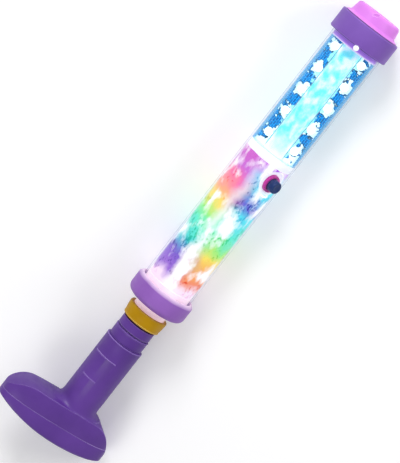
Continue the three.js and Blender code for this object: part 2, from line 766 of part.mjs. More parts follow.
const headX = seamX - 6;
const capBosses = PALM_SCREWS.map((y) => boss(y, barBottom(y) + 1, seamX - GAP / 2, bossRadius + 1));
const shankHoles = PALM_SCREWS.map((y) => boss(y, barX - 2 * BAR_DROP, seamX + 1, PIN_RADIUS + GAP));
const headHoles = PALM_SCREWS.map((y) => boss(y, barX - 2 * BAR_DROP, headX, 3.5));
const capSkin = cut(common(barOuter, belowSeam), barInner);
mesh(handle, "palm_cap", cut(join(capSkin, ...capBosses), ...shankHoles, ...headHoles), purple);
PALM_SCREWS.forEach((y, i) => {
  const screw = turned(
    [
      [headX - GAP - 2.2, 0],
      [headX - GAP - 2.2, 2.4],
      [headX - GAP - 1.4, 3.2],
      [headX - GAP, 3.2],
      [headX - GAP, PIN_RADIUS],
      [seamX + 9, PIN_RADIUS],
      [seamX + 9, 0],
    ],
    SMALL,
  );
  mesh(handle, `palm_screw_${i + 1}`, screw, steel).position.y = y;
});

// At rest the collars lie on the surface and the handle is turned until its toe meets it.
const barPoints = Array.from({ length: barOuter.attributes.position.count }, (_, i) =>
  new THREE.Vector3().fromBufferAttribute(barOuter.attributes.position, i),
);
function reachBelow(turn) {
  return Math.max(...barPoints.map(({ y, z }) => -(y * Math.sin(turn) + z * Math.cos(turn))));
}
let restTurn = 0;
for (let step = Math.PI / 4; step > 1e-6; step /= 2) {
  if (reachBelow(restTurn + step) < collarRadius - 0.05) {
    restTurn += step;
  }
}
handle.rotation.x = restTurn;
const across = barPoints.map(({ y, z }) => y * Math.cos(restTurn) - z * Math.sin(restTurn));
const leftY = Math.max(collarRadius, ...across);
const rightY = Math.min(-collarRadius, ...across);
squirter.position.set(0, -(leftY + rightY) / 2, collarRadius);

export default squirter;
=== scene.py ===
# %% [markdown]
# # A light-up water squirter
# The object is a hand pump: a clear barrel with lights inside, a rod that slides out of its
# back, a grip with a palm bar, and a round nozzle. The solids come packed as a fixed frame.
# This lesson dresses them: the round and curved pieces are modelled again with fine edges, and
# every piece that stays gets a finish of its own.

# %% Load the frame and keep its box
import json
import math
import bpy
from mathutils import Matrix, Vector


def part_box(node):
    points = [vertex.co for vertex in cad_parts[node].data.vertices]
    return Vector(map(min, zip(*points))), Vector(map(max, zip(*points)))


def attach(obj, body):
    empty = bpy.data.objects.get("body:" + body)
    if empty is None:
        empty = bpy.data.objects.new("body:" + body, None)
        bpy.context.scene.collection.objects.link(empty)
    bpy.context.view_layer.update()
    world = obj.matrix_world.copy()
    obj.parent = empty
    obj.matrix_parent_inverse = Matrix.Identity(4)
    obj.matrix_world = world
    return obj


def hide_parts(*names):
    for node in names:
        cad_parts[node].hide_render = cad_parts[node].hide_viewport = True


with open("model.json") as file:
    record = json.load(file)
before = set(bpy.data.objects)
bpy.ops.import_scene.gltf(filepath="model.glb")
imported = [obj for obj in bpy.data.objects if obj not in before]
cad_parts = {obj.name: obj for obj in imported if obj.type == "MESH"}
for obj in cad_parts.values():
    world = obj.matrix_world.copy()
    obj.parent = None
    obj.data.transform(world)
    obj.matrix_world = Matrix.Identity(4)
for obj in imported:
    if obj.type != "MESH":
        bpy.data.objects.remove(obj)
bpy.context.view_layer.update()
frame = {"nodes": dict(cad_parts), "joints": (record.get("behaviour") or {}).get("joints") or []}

MM = 0.001

# %% [markdown]
# ## Where things are
# The barrel lies on the floor along X. All its round pieces share one axis, and the handle is
# turned about that axis until its palm bar touches the floor. The push switch stands out of the
# barrel's side. These places could be typed in, but the frame holds them already: the handle's
# hinge gives the axis, the line through the palm bar's two screws gives its turn, and the button's
# slide gives the switch's direction. Matrices made from them let a piece be modelled at the
# origin, lying along X, and then be set where it belongs.

# %% The places
def middle(node):
    low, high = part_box(node)
    return (low + high) / 2


def span(node):
    """Where a solid starts and ends along the barrel, in millimetres."""
    low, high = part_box(node)
    return low.x / MM, high.x / MM


joints = {joint["name"]: joint for joint in frame["joints"]}
_, AXIS_Y, AXIS_Z = joints["handle_turn"]["pos_m"]
_, press_y, press_z = joints["light_press"]["axis"]
bar_way = middle("palm_screw_1") - middle("palm_screw_2")
REST_TURN = math.atan2(bar_way.z, bar_way.y)
SWITCH_TURN = math.atan2(press_y, -press_z)
at_origin = Matrix.Identity(4)
stand_up = Matrix.Rotation(-math.pi / 2, 4, "Y")
on_barrel = Matrix.Translation((0, AXIS_Y, AXIS_Z))
on_handle = on_barrel @ Matrix.Rotation(REST_TURN, 4, "X")
beside_switch = Matrix.Translation((middle("switch_button").x, 0, 0))
on_switch = on_barrel @ beside_switch @ Matrix.Rotation(SWITCH_TURN, 4, "X") @ stand_up
print("axis height", AXIS_Z, "handle turn", round(math.degrees(REST_TURN), 2))

# %% [markdown]
# ## Turning a piece
# Most pieces here are round, as if made on a lathe. By hand one would add a plane, merge it to a
# single point, extrude that point along half of the section, round the corners with a vertex
# bevel, and spin the outline once round the axis. The helper does exactly that. Rounding the
# outline before the spin is easier than bevelling the finished ring, because each corner is one
# point instead of a whole loop of edges.

# %% Small steps by hand
CLOSE, SLIVER = 2e-6, 1e-6  # metres: points this near are one, and edges this short are dropped
SMOOTH = 35  # degrees: a sharper edge stays crisp


def pick_only(piece):
    bpy.ops.object.select_all(action="DESELECT")
    piece.select_set(True)
    bpy.context.view_layer.objects.active = piece


def start_piece(name):
    """A flat square, one millimetre wide, in edit mode with all of it selected."""
    bpy.ops.object.select_all(action="DESELECT")
    bpy.ops.mesh.primitive_plane_add(size=MM, location=(0, 0, 0))
    piece = bpy.context.object
    piece.name = name
    piece.data.name = name
    bpy.ops.object.mode_set(mode="EDIT")
    bpy.ops.mesh.select_all(action="SELECT")
    return piece


def pick_points(piece, wanted):
    bpy.ops.mesh.select_mode(type="VERT")
    bpy.ops.mesh.select_all(action="DESELECT")
    bpy.ops.object.mode_set(mode="OBJECT")
    for point in piece.data.vertices:
        point.select = wanted(point.co)
    bpy.ops.object.mode_set(mode="EDIT")


def extrude(step):
    bpy.ops.mesh.extrude_region_move(TRANSFORM_OT_translate={"value": step})


def resize(shares, about=(0, 0, 0)):
    bpy.ops.transform.resize(value=shares, center_override=about)


def merge_close():
    bpy.ops.mesh.select_all(action="SELECT")
    bpy.ops.mesh.remove_doubles(threshold=CLOSE)
    bpy.ops.mesh.dissolve_degenerate(threshold=SLIVER)


def face_out():
    bpy.ops.mesh.select_all(action="SELECT")
    bpy.ops.mesh.normals_make_consistent(inside=False)


def set_down(piece, place, smooth=SMOOTH):
    bpy.ops.object.mode_set(mode="OBJECT")
    piece.matrix_world = place
    bpy.ops.object.transform_apply(location=True, rotation=True, scale=True)
    bpy.ops.object.shade_smooth_by_angle(angle=math.radians(smooth))


# %% The lathe
CORNER_STEPS = 3
OFF_AXIS = 1e-7


def turned(name, outline, place, sides=96, corner=0.25):
    """Spins a closed outline of (length, radius) points, in millimetres, about X."""
    piece = start_piece(name)
    bpy.ops.mesh.merge(type="CENTER")
    bpy.ops.transform.translate(value=(outline[0][0] * MM, 0, outline[0][1] * MM))
    for (x0, r0), (x1, r1) in zip(outline, outline[1:]):
        extrude(((x1 - x0) * MM, 0, (r1 - r0) * MM))
    bpy.ops.mesh.select_all(action="SELECT")
    bpy.ops.mesh.edge_face_add()
    if corner:
        pick_points(piece, lambda co: co.z > OFF_AXIS)
        bpy.ops.mesh.bevel(offset=corner * MM, segments=CORNER_STEPS, affect="VERTICES", clamp_overlap=True)
    bpy.ops.mesh.select_all(action="SELECT")
    bpy.ops.mesh.delete(type="ONLY_FACE")
    bpy.ops.mesh.select_all(action="SELECT")
    bpy.ops.mesh.spin(steps=sides, angle=math.tau, center=(0, 0, 0), axis=(1, 0, 0))
    merge_close()
    bpy.ops.mesh.delete_loose()
    face_out()
    set_down(piece, place)
    print(f"{name}: {len(piece.data.polygons)} faces")
    return piece


# %% Cutting and copying
def carve(piece, tool, operation="DIFFERENCE"):
    pick_only(piece)
    cut = piece.modifiers.new("carve", "BOOLEAN")
    cut.operation, cut.object, cut.solver = operation, tool, "EXACT"
    bpy.ops.object.modifier_apply(modifier="carve")
    bpy.data.objects.remove(tool, do_unlink=True)
    bpy.ops.object.mode_set(mode="EDIT")
    merge_close()
    bpy.ops.object.mode_set(mode="OBJECT")
    bpy.ops.object.shade_smooth_by_angle(angle=math.radians(SMOOTH))


def copy_of(piece, name):
    pick_only(piece)
    bpy.ops.object.duplicate(linked=False)
    twin = bpy.context.object
    twin.name = name
    twin.data.name = name
    return twin


# %% [markdown]
# ## The camera
# The photograph was taken from high above, near the nozzle's end, with a long lens, and the
# camera was rolled so that the squirter runs from lower left to upper right. The view direction
# leans ten degrees back along the barrel. A constraint could aim the camera, but not roll it, so
# its right and up vectors are built from the barrel's direction: two numbers, read along and
# across the barrel, give the roll.

# %% Set up the camera
AIM = Vector((-6.1, -0.1, 24.5)) * MM
EYE = Vector((246.0, -0.1, 1411.5)) * MM
ALONG, ACROSS = 0.6142, 0.78945
LENS, SENSOR = 148.4, 36  # millimetres, as on a real camera
look = (AIM - EYE).normalized()
barrel_way = (Vector((1, 0, 0)) - look * look.x).normalized()
side_way = Vector((0, 1, 0))
right = (ALONG * barrel_way - ACROSS * side_way).normalized()
up = (ACROSS * barrel_way + ALONG * side_way).normalized()
camera_data = bpy.data.cameras.new("camera")
camera_data.lens, camera_data.sensor_width, camera_data.sensor_fit = LENS, SENSOR, "AUTO"
camera = bpy.data.objects.new("camera", camera_data)
bpy.context.scene.collection.objects.link(camera)
turn = Matrix((right, up, -look)).transposed().to_4x4()
camera.matrix_world = Matrix.Translation(EYE) @ turn
bpy.context.scene.camera = camera
print("camera at", tuple(round(v, 3) for v in EYE))

# %% [markdown]
# ## Moulded plastic
# The collars, handle, nozzle and rings are injection-moulded plastic. Such a skin isn't one flat
# colour: the colour clouds a little, the gloss wanders, the mould leaves a fine grain that breaks
# up the highlights, and the edges are painted paler: partly wear from hands, partly a painted
# highlight where light would catch them. One could paint all that, but noises at different
# scales give it at once on every piece. They read Object coordinates in metres, so a scale of 900
# gives a grain of about a millimetre.

# %% Helpers for nodes
WHITE = (1, 1, 1, 1)


def hex_colour(code):
    parts = [int(code[i : i + 2], 16) / 255 for i in (0, 2, 4)]
    return [v / 12.92 if v <= 0.04045 else ((v + 0.055) / 1.055) ** 2.4 for v in parts] + [1.0]


def new_finish(name):
    finish = bpy.data.materials.new(name)
    finish.use_nodes = True
    tree = finish.node_tree
    print("finish:", name)
    return finish, tree, tree.nodes["Principled BSDF"]


def add(tree, kind, **values):
    """Adds a node. A value whose name starts with in_ is for a socket, the others for the node."""
    node = tree.nodes.new(kind)
    for key, value in values.items():
        if key.startswith("in_"):
            socket = key[3:]
            node.inputs[int(socket) if socket.isdigit() else socket].default_value = value
        else:
            setattr(node, key, value)
    return node


def feed(tree, socket, value):
    """Links another node's output to a socket, or sets the socket to a plain value."""
    if isinstance(value, bpy.types.NodeSocket):
        tree.links.new(value, socket)
    else:
        socket.default_value = value


def reckon(tree, operation, *values, **options):
    node = add(tree, "ShaderNodeMath", operation=operation, **options)
    for socket, value in zip(node.inputs, values):
        feed(tree, socket, value)
    return node.outputs["Value"]


def remap(tree, value, start, end, low, high):
    """Takes the range from start to end onto the range from low to high, and stops at both ends."""
    node = add(tree, "ShaderNodeMapRange", in_1=start, in_2=end, in_3=low, in_4=high)
    tree.links.new(value, node.inputs[0])
    return node.outputs["Result"]


def mixed(tree, share, colour, other, blend_type="MIX"):
    node = add(tree, "ShaderNodeMix", data_type="RGBA", blend_type=blend_type)
    for name, value in (("Factor", share), ("A", colour), ("B", other)):
        feed(tree, node.inputs[name], value)
    return node.outputs["Result"]


# %% Helpers for patterns
NOISE_LOW, NOISE_HIGH = 0.3, 0.7  # a noise stays mostly between these


def spot(tree):
    return add(tree, "ShaderNodeTexCoord").outputs["Object"]


def split(tree, vector):
    axes = add(tree, "ShaderNodeSeparateXYZ")
    tree.links.new(vector, axes.inputs[0])
    return axes.outputs


def cloud(tree, scale, detail=2.0, stretch=(1, 1, 1)):
    mapping = add(tree, "ShaderNodeMapping", in_Scale=stretch)
    noise = add(tree, "ShaderNodeTexNoise", in_Scale=scale, in_Detail=detail)
    tree.links.new(spot(tree), mapping.inputs["Vector"])
    tree.links.new(mapping.outputs["Vector"], noise.inputs["Vector"])
    return noise.outputs["Fac"]


def spread(tree, noise, low, high):
    return remap(tree, noise, NOISE_LOW, NOISE_HIGH, low, high)


def ramp(tree, value, stops):
    """Colours a value by a list of (place, colour) stops."""
    node = add(tree, "ShaderNodeValToRGB")
    elements = node.color_ramp.elements
    while len(elements) < len(stops):
        elements.new(0.5)
    for element, (place, code) in zip(elements, stops):
        element.position, element.color = place, hex_colour(code)
    tree.links.new(value, node.inputs["Fac"])
    return node.outputs["Color"]


def two_tone(tree, noise, dark, light):
    return ramp(tree, noise, [(NOISE_LOW, dark), (NOISE_HIGH, light)])


# %% Helpers for a skin
GRAIN_DEPTH = 0.15 * MM
# How far and how strongly edges are paled: partly wear, partly a painted highlight.
WEAR_AND_HIGHLIGHT_REACH, WEAR_AND_HIGHLIGHT_MOST, WEAR_AND_HIGHLIGHT_CLOUDS = 0.7 * MM, 0.6, 24
FLAT_ENOUGH, SHARP_ENOUGH = 0.998, 0.95  # how well the two normals agree


def gloss(tree, shader, noise, rough):
    tree.links.new(spread(tree, noise, *rough), shader.inputs["Roughness"])


def grain(tree, shader, scale, strength, depth=GRAIN_DEPTH):
    bump = add(tree, "ShaderNodeBump", in_Strength=strength, in_Distance=depth)
    tree.links.new(cloud(tree, scale, 3.0), bump.inputs["Height"])
    tree.links.new(bump.outputs["Normal"], shader.inputs["Normal"])


def glow(finish, colour, strength):
    """Gives a finish an even light of its own."""
    shader = finish.node_tree.nodes["Principled BSDF"]
    shader.inputs["Emission Color"].default_value = hex_colour(colour)
    shader.inputs["Emission Strength"].default_value = strength


def worn_and_highlit_edges(tree, colour, pale):
    """Pales a colour along edges, where the rounded normal leaves the true one: partly wear, partly a painted
    highlight.
    """
    rounded = add(tree, "ShaderNodeBevel", samples=6, in_Radius=WEAR_AND_HIGHLIGHT_REACH)
    true_way = add(tree, "ShaderNodeNewGeometry")
    match = add(tree, "ShaderNodeVectorMath", operation="DOT_PRODUCT")
    tree.links.new(rounded.outputs["Normal"], match.inputs[0])
    tree.links.new(true_way.outputs["Normal"], match.inputs[1])
    share = remap(tree, match.outputs["Value"], FLAT_ENOUGH, SHARP_ENOUGH, 0.0, WEAR_AND_HIGHLIGHT_MOST)
    patches = spread(tree, cloud(tree, WEAR_AND_HIGHLIGHT_CLOUDS, 1.0), 0.4, 1.4)
    return mixed(tree, reckon(tree, "MULTIPLY", share, patches), colour, hex_colour(pale))


# %% The moulded finishes
COLOUR_CLOUDS, GLOSS_CLOUDS = 38, 140
MOULD_GRAIN, RUBBER_GRAIN = (900, 0.12), (1400, 0.2)  # scale and strength
MATT, SATIN, MILKY = (0.36, 0.5), (0.34, 0.46), (0.32, 0.44)


def moulded(name, dark, light, rough=MATT, skin_grain=MOULD_GRAIN, shine=0.3, rubbed_and_highlit=None):
    finish, tree, shader = new_finish(name)
    skin = two_tone(tree, cloud(tree, COLOUR_CLOUDS, 4.0), dark, light)
    if rubbed_and_highlit:
        skin = worn_and_highlit_edges(tree, skin, rubbed_and_highlit)
    tree.links.new(skin, shader.inputs["Base Color"])
    gloss(tree, shader, cloud(tree, GLOSS_CLOUDS, 3.0), rough)
    shader.inputs["Specular IOR Level"].default_value = shine
    grain(tree, shader, *skin_grain)
    return finish


# The pale edge colours below are partly wear from hands and partly a painted highlight along the edges.
handle_purple = moulded("handle_purple", "522b87", "5e3694", SATIN, shine=0.34, rubbed_and_highlit="b89ce4")
collar_lilac = moulded("collar_lilac", "744eaa", "825cb8", rubbed_and_highlit="b79ae0")
# The rear collar is a lighter copy of the collar lilac: painted light from the lamps inside the barrel.
rear_lilac_lit = moulded("rear_lilac_lit", "8a58b2", "9a68c2", rubbed_and_highlit="cfa8e4")
trim_violet_lit = moulded("trim_violet_lit", "ae78ee", "c294fb", (0.28, 0.4))
# The trim glows a little: painted light that keeps the band inside the clear wall out of shade.
glow(trim_violet_lit, "a878e8", 0.25)
nozzle_pink = moulded("nozzle_pink", "d87de4", "e38beb", SATIN, shine=0.2, rubbed_and_highlit="f6c4f8")
ring_yellow = moulded("ring_yellow", "ad8000", "c09204", SATIN, shine=0.15, rubbed_and_highlit="f6e088")
switch_magenta = moulded("switch_magenta", "c02594", "d633a8", (0.26, 0.36))
button_navy = moulded("button_navy", "0a2456", "103470", (0.4, 0.55))
frosted_white = moulded("frosted_white", "e9e4f0", "f6f2fa", MILKY)
tray_black = moulded("tray_black", "17171b", "242429", (0.42, 0.58))
seal_rubber = moulded("seal_rubber", "1d1d20", "2c2c30", (0.68, 0.85), RUBBER_GRAIN)

# %% [markdown]
# ## Dressing a piece
# A new piece needs three facts: its finish, the body that it moves with, and the solids that it
# stands for. Stated line by line, one of them is soon forgotten, so one helper states them
# together.

# %% A helper that dresses a piece
def dress(piece, finish, body, slot, *nodes):
    if not piece.data.materials:
        piece.data.materials.append(finish)
    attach(piece, body)
    if nodes:
        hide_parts(*nodes)


# %% [markdown]
# ## The collars and the trim ring
# Two lilac screw collars hold the barrel's ends. They are thick-walled cups with a soft round on
# the closed edge and a small one on the open edge. A cylinder with two bevels would do, but a
# turned outline gives both rounds and the hollow in one go.
# The violet trim is a thin band inside the clear barrel, just behind the front collar. The rear
# collar's open lip is thin, and the lamps shine through it, so its colour pales towards the lip,
# and the trim pales towards the lit window in the same way.

# %% Outlines and lit lips
COLLAR_R, COLLAR_BORE, COLLAR_WEB = 24.5, 21.3, 4.0
FILM_IN, FILM_OUT = 18.6, 19.2
LIT_SHARE = 0.85


def tube_outline(from_x, to_x, inner, outer):
    return [(from_x, inner), (from_x, outer), (to_x, outer), (to_x, inner)]


def round_corner(x, r, radius, out, steps=8):
    """Points of a quarter round that leads from a cylinder to a flat end."""
    points = []
    for i in range(steps + 1):
        angle = math.pi / 2 * i / steps
        points.append((x - out * radius * (1 - math.sin(angle)), r - radius * (1 - math.cos(angle))))
    return points


def collar_outline(open_x, closed_x, hole, edge, soft):
    """A cup's outline, with its small round on the open edge and its soft one on the closed edge."""
    out = 1 if closed_x > open_x else -1
    web_x = closed_x - out * COLLAR_WEB
    lip = [(open_x, COLLAR_BORE), (open_x, COLLAR_R - edge)]
    lip += [(open_x + 0.5 * edge * out, COLLAR_R - 0.42 * edge), (open_x + edge * out, COLLAR_R)]
    rounded = round_corner(closed_x, COLLAR_R, soft, out)
    return lip + rounded + [(closed_x, hole), (web_x, hole), (web_x, COLLAR_BORE)]


def light_lip(finish, from_x, to_x, colour, rough_edge=0.002, scale=45):
    """Pales a finish, and its own light if that has a pattern, towards a place that the lamps light."""
    tree = finish.node_tree
    shader = tree.nodes["Principled BSDF"]
    x = split(tree, spot(tree))["X"]
    ragged = reckon(tree, "MULTIPLY_ADD", cloud(tree, scale), rough_edge, x)
    share = remap(tree, ragged, from_x * MM, to_x * MM, 0.0, LIT_SHARE)
    skin = shader.inputs["Base Color"].links[0].from_socket
    pale = mixed(tree, share, skin, hex_colour(colour))
    for name in ("Base Color", "Emission Color"):
        if shader.inputs[name].is_linked:
            tree.links.new(pale, shader.inputs[name])


# %% Turn the collars and the trim ring
FINE_EDGE = 0.12
front_open, front_closed = span("front_collar")
rear_closed, rear_open = span("rear_collar")
trim_from, trim_to = span("front_trim_ring")[0], span("front_plug")[0] - 0.08
light_lip(rear_lilac_lit, rear_open - 2.0, rear_open + 1.2, "f6def2")
light_lip(trim_violet_lit, trim_from + 2.2, trim_from + 1.4, "ffffff")
front_outline = collar_outline(front_open, front_closed, hole=11.0, edge=0.8, soft=1.0)
front_collar = turned("front_collar_cup", front_outline, on_barrel, corner=FINE_EDGE)
dress(front_collar, collar_lilac, "barrel", "lilac", "front_collar")
rear_outline = collar_outline(rear_open, rear_closed, hole=13.8, edge=2.2, soft=5.0)
rear_collar = turned("rear_collar_cup", rear_outline, on_barrel, corner=FINE_EDGE)
dress(rear_collar, rear_lilac_lit, "barrel", "lilac", "rear_collar")
trim_outline = tube_outline(trim_from, trim_to, FILM_IN, FILM_OUT)
trim = turned("trim_band", trim_outline, on_barrel, corner=FINE_EDGE)
dress(trim, trim_violet_lit, "barrel", "purple", "front_trim_ring")

# %% [markdown]
# ## The nozzle
# The nozzle is a short pink cap that narrows to a rounded tip. A thin skirt spreads over the
# collar, its mouth is a shallow cone down to the jet, and its rim has a small notch. A small square
# is extruded, its far face is widened and tilted, and a Boolean takes that wedge away, so the
# notch's walls slope and catch light.

# %% Turn the nozzle and notch its rim
nozzle_outline = [
    (189.5, 11.0), (189.5, 22.3), (190.0, 22.2), (190.6, 20.45), (191.2, 19.7), (191.9, 19.15),
    (197.6, 18.2), (198.9, 17.75), (199.7, 16.95), (200.0, 16.1), (200.0, 8.0), (197.0, 3.5),
    (192.0, 3.5), (192.0, 11.0),
]
NOTCH_PLACE, NOTCH_SPREAD = Vector((199.0, 0, 16.3)) * MM, (5.0, 4.0, 4.0)
nozzle = turned("nozzle_cap_round", nozzle_outline, on_barrel, corner=0.3)
notch = start_piece("notch_tool")
extrude((0, 0, MM))
resize(NOTCH_SPREAD)
bpy.ops.transform.rotate(value=math.pi / 4, orient_axis="X", center_override=(0, 0, 0))
bpy.ops.mesh.normals_make_consistent(inside=False)
set_down(notch, on_barrel @ Matrix.Translation(NOTCH_PLACE))
carve(nozzle, notch)
dress(nozzle, nozzle_pink, "barrel", "pink", "nozzle_cap")
print("nozzle points:", len(nozzle.data.vertices))

# %% [markdown]
# ## Clear plastic
# The barrel is a thin clear tube. Real glass nodes bend the light, which is slow and noisy for a
# thin wall, so the wall lets light straight through and adds only its own sheen: weak where it
# faces the eye, strong at a grazing angle. The Facing output of Layer Weight is raised to a power
# for that; the Fresnel node would turn the wall's inner faces into mirrors. The blue film in
# front is made the same way, with a body of its own that shows along its edges.

# %% The clear finishes
LONG_STREAKS = (0.25, 1, 1)


def see_through(name, tint, body_colour, least, most, power, rough, light=0.0):
    """Clear where it faces the eye, with a body that shows at its least there and at its most at edges."""
    finish, tree, shader = new_finish(name)
    shader.inputs["Base Color"].default_value = hex_colour(body_colour)
    gloss(tree, shader, cloud(tree, 60, 4.0, LONG_STREAKS), rough)
    grain(tree, shader, 500, 0.05)
    if light:
        glow(finish, body_colour, light)
    through = add(tree, "ShaderNodeBsdfTransparent", in_Color=hex_colour(tint))
    facing = add(tree, "ShaderNodeLayerWeight", in_Blend=0.5).outputs["Facing"]
    body = spread(tree, cloud(tree, 90, 3.0), least * 0.7, least * 1.3)
    edge = reckon(tree, "POWER", facing, power)
    share = reckon(tree, "MULTIPLY_ADD", edge, most, body, use_clamp=True)
    mix = add(tree, "ShaderNodeMixShader")
    for socket, output in zip(mix.inputs, (share, through.outputs["BSDF"], shader.outputs["BSDF"])):
        tree.links.new(output, socket)
    tree.links.new(mix.outputs["Shader"], tree.nodes["Material Output"].inputs["Surface"])
    return finish


sheen = {"least": 0.012, "most": 0.5, "power": 4.0, "rough": (0.05, 0.12)}
clear_wall = see_through("clear_wall", "fdfdff", "dce8f0", **sheen)
# The blue film glows a little as well: painted light from the lamps behind it.
tinted = {"least": 0.03, "most": 0.8, "power": 2.6, "rough": (0.25, 0.4), "light": 0.3}
blue_film = see_through("blue_film", "f0fbfe", "3aace0", **tinted)

# %% [markdown]
# ## Lit water and lit print
# Where the lamps shine into the cylinder and the films, colour glows. Real lamps inside would be
# slow and noisy to render, so such a finish has the same colours twice: as base colour for the
# studio's light, and as a light of its own. The lit column of water is cyan and white, mottled by
# a noise that is stretched along the barrel, and it fades to white where it meets the divider.

# %% The lit column
WATER = [(0.39, "78e8e6"), (0.5, "b6f6f2"), (0.62, "ffffff")]
ROD = [(0.35, "62dfe8"), (0.65, "a6f3f6")]


def lit_mottle(name, stops, scale, stretch, strength):
    finish, tree, shader = new_finish(name)
    colour = ramp(tree, cloud(tree, scale, 5.0, stretch), stops)
    tree.links.new(colour, shader.inputs["Base Color"])
    tree.links.new(colour, shader.inputs["Emission Color"])
    shader.inputs["Emission Strength"].default_value = strength
    gloss(tree, shader, cloud(tree, GLOSS_CLOUDS, 3.0), (0.2, 0.35))
    grain(tree, shader, 600, 0.1)
    return finish


water_glow = lit_mottle("water_glow", WATER, scale=150, stretch=(0.8, 1, 1), strength=0.6)
light_lip(water_glow, 104, 88, "ffffff", rough_edge=0.022, scale=130)
# The rod glows a little too: painted light from the lit cylinder round it.
rod_cyan = lit_mottle("rod_cyan", ROD, scale=120, stretch=(0.4, 1, 1), strength=0.15)

# %% [markdown]
# ## The barrel, the pump cylinder and the films
# The barrel is one long clear tube with a round hole for the switch. Inside it, thin films line
# the windows and colour the light, and the pump cylinder runs down the middle. All are tubes, so
# the lathe makes them, and the hole is cut with a turned plug.

# %% Turn the tubes
WALL_IN, WALL_OUT = 19.5, 21.0
PUMP_IN, PUMP_OUT = 6.8, 8.0
BUTTON_HOLE = 5.1
barrel_outline = tube_outline(*span("barrel_tube"), WALL_IN, WALL_OUT)
barrel = turned("barrel_wall", barrel_outline, on_barrel, 128, 0.2)
carve(barrel, turned("hole_tool", tube_outline(12, 30, 0, BUTTON_HOLE), on_switch, 64, 0))
dress(barrel, clear_wall, "barrel", "clear", "barrel_tube")
cylinder_outline = tube_outline(*span("pump_cylinder"), PUMP_IN, PUMP_OUT)
cylinder = turned("cylinder_wall", cylinder_outline, on_barrel, 72, 0.2)
dress(cylinder, water_glow, "barrel", "clear", "pump_cylinder")
blue_outline = tube_outline(*span("blue_sleeve"), FILM_IN, FILM_OUT)
blue_lining = turned("blue_lining", blue_outline, on_barrel, 128, 0.1)
dress(blue_lining, blue_film, "barrel", "blue_film", "blue_sleeve")

# %% [markdown]
# ## The rainbow film
# The rear window is lined with a printed film, lit from inside. Its print is a plain wash of
# rainbow colours that run into each other, with white where the lamp shines through. Two colour
# ramps run along the barrel, one for each side, and a warped slope blends them, so the bands
# meander as wet colours do. The film glows, so its base is dark and most of its colour is light.

# %% The wash and the light that shines through it
LEFT_WASH = [
    (0.0, "c63fbe"), (0.12, "c04cc8"), (0.2, "f0609a"), (0.3, "f8a070"), (0.38, "f2d850"), (0.46, "86e86c"),
    (0.58, "38e6c0"), (0.7, "14c4cc"), (0.8, "6430be"), (0.9, "8a4cc8"), (1.0, "f6dcf0"),
]
RIGHT_WASH = [
    (0.0, "c890ea"), (0.12, "58e4f2"), (0.22, "22d2ea"), (0.3, "4438c4"), (0.4, "26dae8"), (0.52, "32e4c4"),
    (0.62, "86e868"), (0.72, "f2dc3c"), (0.83, "f49a30"), (0.92, "ee7c4c"), (1.0, "f8e2f2"),
]
WASH_FRONT, WASH_REAR = 82 * MM, -34 * MM
WASH_LEFT, WASH_RIGHT = 9 * MM, -7 * MM
BAND_Y, BAND_EDGE = 3.5 * MM, (0.5 * MM, 6.5 * MM)
BAND_LENGTH, BAND_WHITE = (75 * MM, -10 * MM), (0.25, 0.95)
GAP_NOISE, GAP_WHITE = (0.485, 0.6), (0.07, 0.94)
PATCH_SHARE, INK_NOISE = 0.8, (0.71, 0.8)
SMEARED = (0.6, 1, 1)


def wash_colours(tree, x, y):
    length = remap(tree, x, WASH_FRONT, WASH_REAR, 0.0, 1.0)
    across = remap(tree, y, WASH_LEFT, WASH_RIGHT, 0.0, 1.0)
    return mixed(tree, across, ramp(tree, length, LEFT_WASH), ramp(tree, length, RIGHT_WASH))


def lamp_white(tree, x, y):
    """A soft white band along the barrel, stronger towards the rear, and ragged gaps in the colours."""
    off_band = reckon(tree, "ABSOLUTE", reckon(tree, "SUBTRACT", y, BAND_Y))
    band = remap(tree, off_band, *BAND_EDGE, 1.0, 0.0)
    fade = remap(tree, x, *BAND_LENGTH, *BAND_WHITE)
    gaps = remap(tree, cloud(tree, 75, 5.0, SMEARED), *GAP_NOISE, *GAP_WHITE)
    return reckon(tree, "MAXIMUM", reckon(tree, "MULTIPLY", band, fade), gaps, use_clamp=True)


def double_ink(tree, white):
    """Fine flecks, in patches, where the ink lies double. The lamps' white hides them."""
    patches, specks = cloud(tree, 65), cloud(tree, 560, 5.0, SMEARED)
    both = reckon(tree, "MULTIPLY_ADD", patches, PATCH_SHARE, specks)
    fleck = remap(tree, both, *INK_NOISE, 1.0, 0.0)
    return reckon(tree, "MULTIPLY", fleck, reckon(tree, "SUBTRACT", 1.0, white))


# %% The rainbow finish
WARP, WARP_CLOUDS = (0.03, 0.016, 0.0), 55.0
FILM_DIM, FILM_GLOW = (0.36, 0.36, 0.36, 1), 0.82


def rainbow_finish():
    finish, tree, shader = new_finish("rainbow_print")
    place = spot(tree)
    noise = add(tree, "ShaderNodeTexNoise", in_Scale=WARP_CLOUDS, in_Detail=4.0)
    tree.links.new(place, noise.inputs["Vector"])
    warped = add(tree, "ShaderNodeVectorMath", operation="MULTIPLY_ADD")
    for socket, value in zip(warped.inputs, (noise.outputs["Color"], WARP, place)):
        feed(tree, socket, value)
    x, y, _ = split(tree, warped.outputs["Vector"])
    wash, white = wash_colours(tree, x, y), lamp_white(tree, x, y)
    lit = mixed(tree, white, wash, WHITE)
    # Double ink lets the light through twice as coloured: the wash is multiplied by itself.
    deep = mixed(tree, 1.0, wash, wash, "MULTIPLY")
    printed = mixed(tree, double_ink(tree, white), lit, deep)
    tree.links.new(mixed(tree, 1.0, printed, FILM_DIM, "MULTIPLY"), shader.inputs["Base Color"])
    tree.links.new(printed, shader.inputs["Emission Color"])
    shader.inputs["Emission Strength"].default_value = FILM_GLOW
    shader.inputs["Specular IOR Level"].default_value = 0.2
    gloss(tree, shader, cloud(tree, 120, 3.0), (0.3, 0.45))
    grain(tree, shader, 700, 0.1)
    return finish


